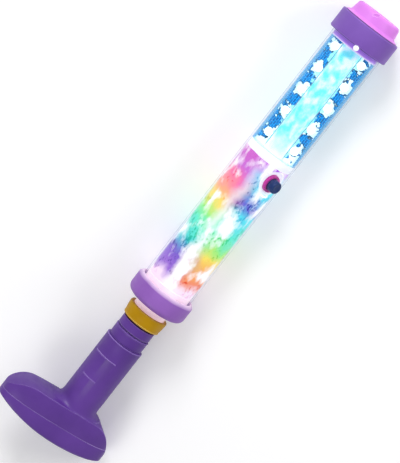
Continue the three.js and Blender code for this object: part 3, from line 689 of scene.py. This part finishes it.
SWITCH_WINDOW = 11.4
rainbow_outline = tube_outline(*span("rainbow_sleeve"), FILM_IN, FILM_OUT)
rainbow = turned("rainbow_lining", rainbow_outline, on_barrel, 128, 0.1)
carve(rainbow, turned("hole_tool", tube_outline(8, 30, 0, SWITCH_WINDOW), on_switch, 64, 0))
dress(rainbow, rainbow_finish(), "barrel", "film", "rainbow_sleeve")

# %% [markdown]
# ## Lit white plastic
# The divider is white and catches the lamps' light, so it glows softly. A little light of its own
# gives that, on top of the same moulded skin. The rear plug and the gland's neck glow too, with a
# blush from the collar between them: the light leaks out behind the rear collar, where the neck
# shows. One could light them with real lamps inside, but those would need many more samples.

# %% The glowing whites and their pieces
PLUG_BORE, SOFT_EDGE = 8.3, 0.4
lit_white = moulded("lit_white", "e9ecf4", "fafaff", MILKY)
glow(lit_white, "f6fdff", 0.3)
blush_white = moulded("blush_white", "f2c0d2", "fff2f8", MILKY)
glow(blush_white, "ffe2ee", 0.35)
divider_outline = tube_outline(*span("divider"), PLUG_BORE, FILM_OUT)
divider = turned("divider_ring", divider_outline, on_barrel, corner=SOFT_EDGE)
dress(divider, lit_white, "barrel", "white", "divider")
plug_outline = tube_outline(*span("rear_plug"), PLUG_BORE, FILM_OUT)
rear_plug = turned("rear_plug_ring", plug_outline, on_barrel, corner=SOFT_EDGE)
dress(rear_plug, blush_white, "barrel", "white", "rear_plug")
neck_outline = [
    (-62.6, 8.3), (-62.6, 19.2), (-65.5, 19.2), (-65.5, 13.5), (-82.5, 13.5), (-82.5, 5.4), (-78.3, 5.4),
    (-78.3, 8.3),
]
gland_neck = turned("gland_neck_tube", neck_outline, on_barrel)
dress(gland_neck, blush_white, "barrel", "white", "gland_neck")

# %% [markdown]
# ## The white stud, a painted glint
# A white stud stands on the clear barrel and bites into the front collar's open edge. It is a painted
# highlight: a small white dome that glows, set where a glint falls. Its head is a low dome. The bite in
# the collar is a plug a little wider than the stud, taken away with a Boolean.

# %% Turn the stud and cut its seat
GLINT_STUD_R, SEAT_R = 2.1, 2.25
glint_stud_place = Vector((front_open - 1.1, -0.9, 0)) * MM
on_glint_stud = on_barrel @ Matrix.Translation(glint_stud_place) @ stand_up
carve(front_collar, turned("seat_tool", tube_outline(18.0, 30.0, 0, SEAT_R), on_glint_stud, 48, 0))
glint_stud_dome = [(23.6, GLINT_STUD_R), (24.05, 1.85), (24.35, 1.35), (24.5, 0.7), (24.55, 0)]
# A white dome that glows: a painted highlight where a glint falls on the collar's edge.
glint_stud = turned("painted_glint_stud", [(20.9, 0), (20.9, GLINT_STUD_R)] + glint_stud_dome, on_glint_stud, 48, 0.1)
dress(glint_stud, lit_white, "barrel", "white")

# %% [markdown]
# ## The yellow gland ring
# A yellow ring screws onto the neck and holds the rod's wiper. It tapers towards the handle. Its
# front rim is rounded, and a fine bead runs round its rear rim. A cone with bevelled rims comes
# close, but the bead needs points of its own, so the ring is turned.

# %% Turn the gland ring
gland_outline = [
    (-77.1, 13.8), (-77.1, 15.5), (-77.4, 16.2), (-78.1, 16.5), (-82.6, 16.1), (-86.7, 15.35), (-86.9, 15.6),
    (-87.3, 15.65), (-87.65, 15.4), (-87.8, 14.9), (-87.8, 5.4), (-85.3, 5.4), (-85.3, 9.3), (-82.8, 9.3),
    (-82.8, 13.8),
]
gland_ring = turned("gland_ring_round", gland_outline, on_barrel, corner=0.2)
dress(gland_ring, ring_yellow, "barrel", "yellow", "gland_ring")

# %% [markdown]
# ## The rod and the neck
# The rod slides inside the cylinder and shows as a cyan column when the handle is pulled out. The
# neck joins it to the grip. Its front is set back, which leaves a shadow at the yellow ring, and a
# groove runs before a fine raised lip that catches the light. Insets on a cylinder could make such
# steps one by one, but a single turned outline holds them all.

# %% Turn the rod and the neck
rod_outline = [
    (-121.0, 3.0), (-121.0, 5.0), (165.9, 5.0), (165.9, 2.8), (168.9, 2.8), (168.9, 3.7), (171.8, 3.7),
    (172.4, 2.6), (172.4, 0.0), (159.9, 0.0), (159.9, 3.0),
]
rod = turned("rod_tube", rod_outline, on_handle, 64, 0.15)
dress(rod, rod_cyan, "handle", "cyan", "plunger_rod")
neck_steps = [
    (-88.3, 5.3), (-88.3, 10.8), (-89.2, 10.8), (-89.2, 13.5), (-89.5, 13.9), (-96.3, 13.9), (-96.4, 12.4),
    (-97.5, 12.4), (-97.6, 14.1), (-97.9, 14.4), (-98.4, 14.45), (-99.0, 14.2), (-107.1, 14.2),
    (-107.3, 14.0), (-107.3, 12.4), (-121.0, 12.4), (-121.0, 5.3),
]
neck = turned("neck_stepped", neck_steps, on_handle, corner=0.15)
dress(neck, handle_purple, "handle", "purple", "neck_collar")

# %% [markdown]
# ## The palm bar
# The bar is level on top, crowned underneath, drops to a toe on its short side, and is a rounded
# lens seen along the rod. By hand one would take a rounded square and extrude it along the bar,
# scaling and sliding the new ring each time. The slices follow two curves, one for the top and
# one for the underside, so the helper works out each slice from them. The bar is then parted into
# two halves along a seam, and the rim of each half is drawn in a little, so the seam shows.

# %% The bar's curves
BAR_X, LONG, SHORT, HALF = -165.3, 56.7, 41.8, 16.85
LENS_POWER = 2.6
TOP_X, UNDER_X = BAR_X - 4.5, BAR_X - 34.7
TOE_FROM, TOE_DROP, TOE_POWER = 0.29, 22, 2.8
HEEL_FROM, HEEL_DROP, HEEL_POWER = 0.6, 10.5, 2.3
LONG_CROWN, SHORT_CROWN = 10, 4
SLICES, END_ANGLE = 48, 86


def bar_slice(number):
    """A slice's place along the bar, its half depth, its top and its underside."""
    share = math.sin(math.radians(END_ANGLE * (2 * number / SLICES - 1)))
    y = share * (LONG if share > 0 else SHORT)
    half = HALF * (1 - abs(share) ** LENS_POWER) ** (1 / LENS_POWER)
    toe = max(0, -y / SHORT - TOE_FROM) / (1 - TOE_FROM)
    heel = max(0, y / LONG - HEEL_FROM) / (1 - HEEL_FROM)
    top = TOP_X - TOE_DROP * toe**TOE_POWER - HEEL_DROP * heel**HEEL_POWER
    under = UNDER_X + (LONG_CROWN * (y / LONG) ** 2 if y > 0 else SHORT_CROWN * (y / SHORT) ** 2)
    return y, half, top, under


# %% Extrude the palm bar slice by slice
LOW_CORNER, HIGH_CORNER = (-0.49, 0.1, 6), (0.49, 0.014, 3)  # beyond this place, a size and steps


def palm_bar(name):
    piece = start_piece(name)
    resize((1 / MM, 1 / MM, 1))
    bpy.ops.transform.rotate(value=math.pi / 2, orient_axis="X", center_override=(0, 0, 0))
    for beyond, size, segments in (LOW_CORNER, HIGH_CORNER):
        pick_points(piece, lambda co: co.x / beyond > 1)
        bpy.ops.mesh.bevel(offset=size, segments=segments, affect="VERTICES")
    bpy.ops.mesh.select_all(action="SELECT")
    bpy.ops.mesh.delete(type="ONLY_FACE")
    bpy.ops.mesh.select_all(action="SELECT")
    y, half, top, under = bar_slice(0)
    resize(((top - under) * MM, 1, 2 * half * MM))
    bpy.ops.transform.translate(value=((top + under) / 2 * MM, y * MM, 0))
    bpy.ops.mesh.edge_face_add()
    for number in range(1, SLICES + 1):
        y1, half1, top1, under1 = bar_slice(number)
        extrude((((top1 + under1) - (top + under)) / 2 * MM, (y1 - y) * MM, 0))
        grow = ((top1 - under1) / (top - under), 1, half1 / half)
        resize(grow, about=((top1 + under1) / 2 * MM, y1 * MM, 0))
        y, half, top, under = y1, half1, top1, under1
    bpy.ops.mesh.select_all(action="SELECT")
    bpy.ops.mesh.remove_doubles(threshold=CLOSE)
    face_out()
    bpy.ops.object.mode_set(mode="OBJECT")
    print(f"{name}: {len(piece.data.polygons)} faces")
    return piece


# %% Part the bar along its seam
SEAM_X, SEAM_HALF = -185.3, 0.04
RIM_DEPTH, RIM_SHRINK, RIM_MIDDLE = 0.25, (1, 0.9982, 0.995), (0, 7.5 * MM, 0)


def keep_side(piece, above):
    """Keeps the bar's half on one side of the seam, and draws in its rim."""
    way = 1 if above else -1
    seam = (SEAM_X + way * SEAM_HALF) * MM
    pick_only(piece)
    bpy.ops.object.mode_set(mode="EDIT")
    bpy.ops.mesh.select_all(action="SELECT")
    bpy.ops.mesh.bisect(plane_co=(seam + way * RIM_DEPTH * MM, 0, 0), plane_no=(1, 0, 0))
    bpy.ops.mesh.select_all(action="SELECT")
    cut = {"plane_co": (seam, 0, 0), "plane_no": (1, 0, 0), "use_fill": True}
    bpy.ops.mesh.bisect(**cut, clear_inner=above, clear_outer=not above)
    pick_points(piece, lambda co: abs(co.x - seam) < SLIVER)
    resize(RIM_SHRINK, about=RIM_MIDDLE)
    face_out()
    bpy.ops.object.mode_set(mode="OBJECT")


upper_bar = palm_bar("upper_bar")
palm = copy_of(upper_bar, "palm_cap_crowned")
keep_side(upper_bar, True)
keep_side(palm, False)
print("halves of the bar:", len(upper_bar.data.polygons), len(palm.data.polygons), "faces")

# %% [markdown]
# ## The grip
# The grip is a plain round post that flares where it meets the bar. The flare spreads along the
# bar but not over its front and back, so each of its rings is squeezed in depth after the spin.
# The post is then joined with the bar's upper half by a Boolean. A blind bore leaves room for the
# neck's spigot, and two fine raised lines of the mould are left on one quarter of the post.

# %% Turn the grip and join it with the bar
GRIP_R, GRIP_BORE, BORE_END, GRIP_END = 15.6, 12.7, -166.0, -173.8
FLARE_R, FLARE_X, FLARE_DEPTH = 7, BAR_X + 2.5, 0.18
flare = []
for step in range(0, 91, 9):
    angle = math.radians(step)
    flare.append((FLARE_X - FLARE_R * math.sin(angle), GRIP_R + FLARE_R * (1 - math.cos(angle))))
flare.append((GRIP_END, GRIP_R + FLARE_R))
grip_lip = [
    (-107.4, GRIP_BORE), (-107.4, 14.9), (-107.5, 15.45), (-107.85, 15.75), (-108.4, 15.75), (-108.9, GRIP_R),
]
grip_bore = [(GRIP_END, 0), (BORE_END, 0), (BORE_END, GRIP_BORE)]
handle = turned("handle_grip", grip_lip + flare + grip_bore, at_origin, corner=0)
bpy.ops.object.mode_set(mode="EDIT")
for x, radius in flare[1:]:
    pick_points(
        handle,
        lambda co: abs(co.x - x * MM) < CLOSE and math.hypot(co.y, co.z) > (GRIP_R + 0.01) * MM,
    )
    resize((1, 1, (GRIP_R + FLARE_DEPTH * (radius - GRIP_R)) / radius))
bpy.ops.object.mode_set(mode="OBJECT")
carve(handle, upper_bar, "UNION")
print("handle faces:", len(handle.data.polygons))

# %% Leave two lines of the mould on the grip
LINE_SECTION = [(-0.5, 15.0), (-0.5, GRIP_R), (-0.2, 15.8), (0.1, 15.8), (0.28, GRIP_R), (0.28, 15.0)]
MOULD_LINES = ((-122.4, 1.3, 1.6), (-142.4, 5.2, 5.8))  # a place along the grip, and where its ends are cut
for x, low_y, low_z in MOULD_LINES:
    line_outline = [(x + along, radius) for along, radius in LINE_SECTION]
    line = turned("mould_line", line_outline, at_origin, corner=0)
    bpy.ops.object.mode_set(mode="EDIT")
    for edge, way in (((0, low_y * MM, 0), (0, 1, 0)), ((0, 0, low_z * MM), (0, 0, 1))):
        bpy.ops.mesh.select_all(action="SELECT")
        bpy.ops.mesh.bisect(plane_co=edge, plane_no=way, use_fill=True, clear_inner=True)
    bpy.ops.object.mode_set(mode="OBJECT")
    carve(handle, line, "UNION")

# %% [markdown]
# ## The palm cap and its screws
# The bar's lower half is a separate cap, held by two screws in deep holes. The holes are turned
# plugs taken away, and each screw is a turned head with a cross cut into it. One screw is made
# and copied.

# %% Sink the screw holes
WELL_R, WELL_FLOOR, PAST_CAP = 3.5, -191.3, -230.0
HANDLE_SMOOTH = 40
axis_point = Vector((0, AXIS_Y, AXIS_Z))
screw_places = []
for number in (1, 2):
    along_bar = (middle(f"palm_screw_{number}") - axis_point).dot(bar_way.normalized())
    screw_places.append(Matrix.Translation((0, along_bar, 0)))
for place in screw_places:
    carve(palm, turned("well_tool", tube_outline(PAST_CAP, WELL_FLOOR, 0, WELL_R), place, 48, 0))
for piece in (handle, palm):
    pick_only(piece)
    set_down(piece, on_handle, HANDLE_SMOOTH)
dress(handle, handle_purple, "handle", "purple", "handle_shell")
dress(palm, handle_purple, "handle", "purple", "palm_cap")

# %% Plated steel, and the screws
HEAD_X = -193.8
SLOT_LENGTH, SLOT_WIDTH, SLOT_DEPTH = 3.6, 0.7, 1.2


def plated(name, dark, light, rough):
    finish, tree, shader = new_finish(name)
    tree.links.new(two_tone(tree, cloud(tree, 300, 4.0), dark, light), shader.inputs["Base Color"])
    gloss(tree, shader, cloud(tree, 500, 3.0), rough)
    shader.inputs["Metallic"].default_value = 1.0
    grain(tree, shader, 2200, 0.08, 0.06 * MM)
    return finish


bright_steel = plated("bright_steel", "b4b8be", "d2d5d9", (0.22, 0.36))
screw_outline = [
    (HEAD_X, 0), (HEAD_X, 2.3), (-193.0, 3.15), (-191.6, 3.2), (-191.6, 1.5), (-176.3, 1.5), (-176.3, 0),
]
screw = turned("screw_pattern", screw_outline, at_origin, 40, 0.15)
for quarter in (0, 90):
    slot = start_piece("slot_tool")
    extrude((0, 0, MM))
    bpy.ops.mesh.select_all(action="SELECT")
    resize((2 * SLOT_DEPTH, SLOT_LENGTH, SLOT_WIDTH))
    bpy.ops.transform.translate(value=(HEAD_X * MM, 0, -SLOT_WIDTH / 2 * MM))
    bpy.ops.mesh.normals_make_consistent(inside=False)
    set_down(slot, Matrix.Rotation(math.radians(quarter), 4, "X"))
    carve(screw, slot)
for number, place in enumerate(screw_places, 1):
    one = copy_of(screw, f"palm_screw_cross_{number}")
    set_down(one, on_handle @ place)
    dress(one, bright_steel, "handle", "steel", f"palm_screw_{number}")
bpy.data.objects.remove(screw, do_unlink=True)

# %% [markdown]
# ## The lamps
# Each lamp is a small round white base with a lens on it, soldered on a blue board. The lens is
# lit. A sphere sunk into a disc would do, but one turned outline gives base and dome together,
# and the faces above the base get the lit finish. Sixteen copies stand where the solids stand.

# %% Model one lamp and copy it
LAMP_BASE = 0.65
lamp_glow, lamp_tree, lamp_shader = new_finish("lamp_glow")
lamp_skin = two_tone(lamp_tree, cloud(lamp_tree, 800), "e8f4ff", "ffffff")
lamp_tree.links.new(lamp_skin, lamp_shader.inputs["Base Color"])
gloss(lamp_tree, lamp_shader, cloud(lamp_tree, 900), (0.12, 0.25))
grain(lamp_tree, lamp_shader, 1500, 0.05, 0.05 * MM)
glow(lamp_glow, "f4fbff", 2.0)
base_outline = [(0.0, 0.0), (0.0, 3.35), (0.5, 3.35), (0.7, 3.1)]
dome_outline = [(1.1, 3.05), (1.5, 2.75), (1.9, 2.2), (2.15, 1.5), (2.32, 0.8), (2.4, 0.0)]
lamp = turned("lamp_pattern", base_outline + dome_outline, at_origin, 32, 0.1)
lamp.data.materials.append(frosted_white)
lamp.data.materials.append(lamp_glow)
for face in lamp.data.polygons:
    face.material_index = 1 if face.center.x > LAMP_BASE * MM else 0
lamps = [name for name in frame["nodes"] if "_led_" in name]
for name in sorted(lamps):
    low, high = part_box(name)
    foot = Matrix.Translation(((low.x + high.x) / 2, (low.y + high.y) / 2, low.z))
    one = copy_of(lamp, name.replace("_led_", "_lamp_"))
    set_down(one, foot @ stand_up)
    dress(one, lamp_glow, "barrel", "lamp", name)
bpy.data.objects.remove(lamp, do_unlink=True)
print("lamps:", len(lamps))

# %% [markdown]
# ## The push switch
# A navy button passes through a hole in the clear wall. Under the wall a magenta housing holds it,
# and a white cup stands round that, so the switch shows as a navy, a magenta and a white ring. All
# are turned about the switch's own axis, which points out of the barrel's side. The button's face
# is dished, so a thumb finds it.

# %% Turn the switch's pieces
cup_outline = [
    (10.65, 6.4), (10.65, 10.8), (15.93, 10.8), (15.93, 7.3), (13.25, 7.3), (13.25, 2.6), (12.45, 2.6),
    (12.45, 6.4),
]
cup = turned("switch_cup_round", cup_outline, on_switch, 64, 0.3)
# The cup takes the lit white and glows: painted light from the lamps inside the barrel.
dress(cup, lit_white, "barrel", "white", "switch_cup")
housing_outline = [(13.5, 5.9), (13.5, 7.0), (17.9, 7.0), (17.9, 5.1), (17.0, 5.1), (17.0, 5.9)]
housing = turned("switch_housing_ring", housing_outline, on_switch, 64)
dress(housing, switch_magenta, "barrel", "magenta", "switch_housing")
button_foot = [(13.65, 0), (13.65, 2.2), (15.5, 2.2), (15.5, 5.6), (16.7, 5.6), (16.7, 4.8), (22.6, 4.8)]
button_face = [(23.2, 4.55), (23.55, 4.1), (23.68, 3.5), (23.6, 2.8), (23.35, 1.4), (23.28, 0)]
button = turned("switch_button_dished", button_foot + button_face, on_switch, 64, 0.15)
dress(button, button_navy, "light_button", "navy", "switch_button")

# %% [markdown]
# ## The lamp boards
# The boards are blue with printed lines, made by a brick pattern whose mortar stands for the
# copper tracks under the lacquer. Round each lamp its light spills over the board: the distance to
# the nearest lamp, roughened by a noise, gives that white patch and the dark rim round it. Real
# lamps could light the boards, but so small a patch of light would come out noisy and soft.

# %% The boards' finish
LAMP_FOOT, LAMP_PITCH, LAMP_SIDE, LAMP_WIDE = 74.2 * MM, 19.64 * MM, 10.9 * MM, 0.75
SPILL_NOISE, COLUMN_NOISE = 24 * MM, 22 * MM
SPILL, RIM, COLUMN = (0.0162, 0.017), (0.0174, 0.0188), (0.0192, 0.0204)  # metres, noise included


def lamp_distance(tree, x, off_axis):
    """How far a point is from the nearest lamp, or from the white divider at the board's foot."""
    steps = reckon(tree, "SUBTRACT", x, LAMP_FOOT)
    wrapped = reckon(tree, "PINGPONG", steps, LAMP_PITCH / 2)
    side = reckon(tree, "SUBTRACT", off_axis, LAMP_SIDE)
    pair = add(tree, "ShaderNodeCombineXYZ")
    feed(tree, pair.inputs["X"], reckon(tree, "SUBTRACT", LAMP_PITCH / 2, wrapped))
    feed(tree, pair.inputs["Y"], reckon(tree, "MULTIPLY", side, LAMP_WIDE))
    reach = add(tree, "ShaderNodeVectorMath", operation="LENGTH")
    tree.links.new(pair.outputs["Vector"], reach.inputs[0])
    return reckon(tree, "MINIMUM", reckon(tree, "ABSOLUTE", steps), reach.outputs["Value"])


def board_finish():
    finish, tree, shader = new_finish("board_blue")
    place = spot(tree)
    tracks = add(tree, "ShaderNodeTexBrick", in_Scale=150.0)
    for name, code in (("Color1", "004c94"), ("Color2", "0084cc"), ("Mortar", "1ea6e4")):
        tracks.inputs[name].default_value = hex_colour(code)
    tracks.inputs["Mortar Size"].default_value = 0.03
    tree.links.new(place, tracks.inputs["Vector"])
    x, y, _ = split(tree, place)
    off_axis = reckon(tree, "ABSOLUTE", reckon(tree, "SUBTRACT", y, AXIS_Y))
    far = lamp_distance(tree, x, off_axis)
    far = reckon(tree, "MULTIPLY_ADD", cloud(tree, 270, 6.0), SPILL_NOISE, far)
    shaded = mixed(tree, remap(tree, far, *RIM, 1.0, 0.0), tracks.outputs["Color"], hex_colour("02202e"))
    lit = mixed(tree, remap(tree, far, *SPILL, 1.0, 0.0), shaded, WHITE)
    # The lit column lights the inner edge of each board, raggedly.
    inner = reckon(tree, "MULTIPLY_ADD", cloud(tree, 190, 5.0), COLUMN_NOISE, off_axis)
    washed = mixed(tree, remap(tree, inner, *COLUMN, 1.0, 0.0), lit, hex_colour("bdf8fa"))
    tree.links.new(washed, shader.inputs["Base Color"])
    # The whole board glows: painted light from the lamps, strongest in the white patch round each.
    tree.links.new(washed, shader.inputs["Emission Color"])
    tree.links.new(remap(tree, far, *SPILL, 0.8, 0.4), shader.inputs["Emission Strength"])
    shader.inputs["Specular IOR Level"].default_value = 0.1
    gloss(tree, shader, cloud(tree, 400), (0.3, 0.45))
    bump = add(tree, "ShaderNodeBump", in_Strength=0.2, in_Distance=0.05 * MM)
    tree.links.new(tracks.outputs["Fac"], bump.inputs["Height"])
    tree.links.new(bump.outputs["Normal"], shader.inputs["Normal"])
    return finish


# %% [markdown]
# ## The pieces that keep their solids
# The boards, cells, seals and other inner pieces have the right shape already, so they aren't
# modelled again. Each only gets a finish in its own slot.

# %% Finish the kept solids
kept = [
    (board_finish(), ["front_left_board", "front_right_board", "rear_left_board", "rear_right_board"]),
    (bright_steel, ["battery_cell_1", "battery_cell_2", "battery_cell_3"]),
    (bright_steel, ["battery_strap", "battery_tab", "rod_pin"]),
    (tray_black, ["battery_tray", "contact_switch"]),
    (seal_rubber, ["front_gasket", "rear_gasket", "rod_wiper", "piston_seal", "return_pad"]),
    (frosted_white, ["switch_saddle"]),
    (handle_purple, ["front_plug", "piston_head"]),
]
for finish, names in kept:
    for name in names:
        for socket in frame["nodes"][name].material_slots:
            socket.material = finish
print("kept solids:", sum(len(names) for _, names in kept))

# %% [markdown]
# ## Floor, light and background
# The photograph is a cut-out on white, so the floor is a plain pale sheet with a soft shadow and
# the background is white. The world is dim for the object and white only where the camera or a
# shiny face looks straight at it. The lamps don't reach the floor's far parts, so these get a lift
# that only the camera sees: more light would whiten the floor as well, but it would bleach the
# object. Three large soft lamps light the object from above.

# %% The floor
FLOOR_SIZE, FLOOR_Z = 6, -0.2 * MM
LIFT_FROM, LIFT_TO = 0.5, 2.0  # metres from the middle
NEAR_LIFT, FAR_LIFT = 0.16, 0.62
bpy.ops.object.select_all(action="DESELECT")
bpy.ops.mesh.primitive_plane_add(size=FLOOR_SIZE, location=(0, 0, FLOOR_Z))
floor = bpy.context.object
floor.name = "floor"
floor_white, floor_tree, floor_shader = new_finish("floor_white")
floor_shader.inputs["Roughness"].default_value = 0.9
patches = spread(floor_tree, cloud(floor_tree, 3), 0.0, 1.0)
pale = mixed(floor_tree, patches, (0.86, 0.86, 0.87, 1), (0.88, 0.88, 0.89, 1))
floor_tree.links.new(pale, floor_shader.inputs["Base Color"])
floor_reach = add(floor_tree, "ShaderNodeVectorMath", operation="LENGTH")
floor_tree.links.new(spot(floor_tree), floor_reach.inputs[0])
lift = remap(floor_tree, floor_reach.outputs["Value"], LIFT_FROM, LIFT_TO, NEAR_LIFT, FAR_LIFT)
floor_eye = add(floor_tree, "ShaderNodeLightPath").outputs["Is Camera Ray"]
seen_lift = reckon(floor_tree, "MULTIPLY", floor_eye, lift)
floor_tree.links.new(seen_lift, floor_shader.inputs["Emission Strength"])
floor.data.materials.append(floor_white)
print("floor:", FLOOR_SIZE, "m wide")

# %% The background
DIM_SKY, WHITE_SKY = 0.4, 1.0
world = bpy.data.worlds.new("studio")
bpy.context.scene.world = world
world.use_nodes = True
sky = world.node_tree
dim = sky.nodes["Background"]
dim.inputs["Color"].default_value = WHITE
dim.inputs["Strength"].default_value = DIM_SKY
bright = add(sky, "ShaderNodeBackground", in_Color=WHITE, in_Strength=WHITE_SKY)
rays = add(sky, "ShaderNodeLightPath").outputs
seen = reckon(sky, "MAXIMUM", rays["Is Camera Ray"], rays["Is Glossy Ray"])
seen = reckon(sky, "MAXIMUM", seen, rays["Is Transmission Ray"])
choose = add(sky, "ShaderNodeMixShader")
for socket, output in zip(choose.inputs, (seen, dim.outputs["Background"], bright.outputs["Background"])):
    sky.links.new(output, socket)
sky.links.new(choose.outputs["Shader"], sky.nodes["World Output"].inputs["Surface"])
print("background:", DIM_SKY, "for the object,", WHITE_SKY, "for the camera")

# %% The lamps of the studio
def soft_lamp(name, place, size, watts):
    data = bpy.data.lights.new(name, "AREA")
    data.shape, data.size, data.energy = "DISK", size, watts
    studio_lamp = bpy.data.objects.new(name, data)
    bpy.context.scene.collection.objects.link(studio_lamp)
    studio_lamp.location = place
    studio_lamp.rotation_euler = (-Vector(place)).to_track_quat("-Z", "Y").to_euler()


soft_lamp("key_lamp", (0.95, 0.65, 0.9), 0.6, 12)
soft_lamp("fill_lamp", (0.8, -0.85, 0.75), 0.6, 6)
soft_lamp("back_lamp", (-1.1, 0.2, 0.9), 0.7, 4)
bpy.context.scene.view_settings.view_transform = "Standard"
print("stage ready")
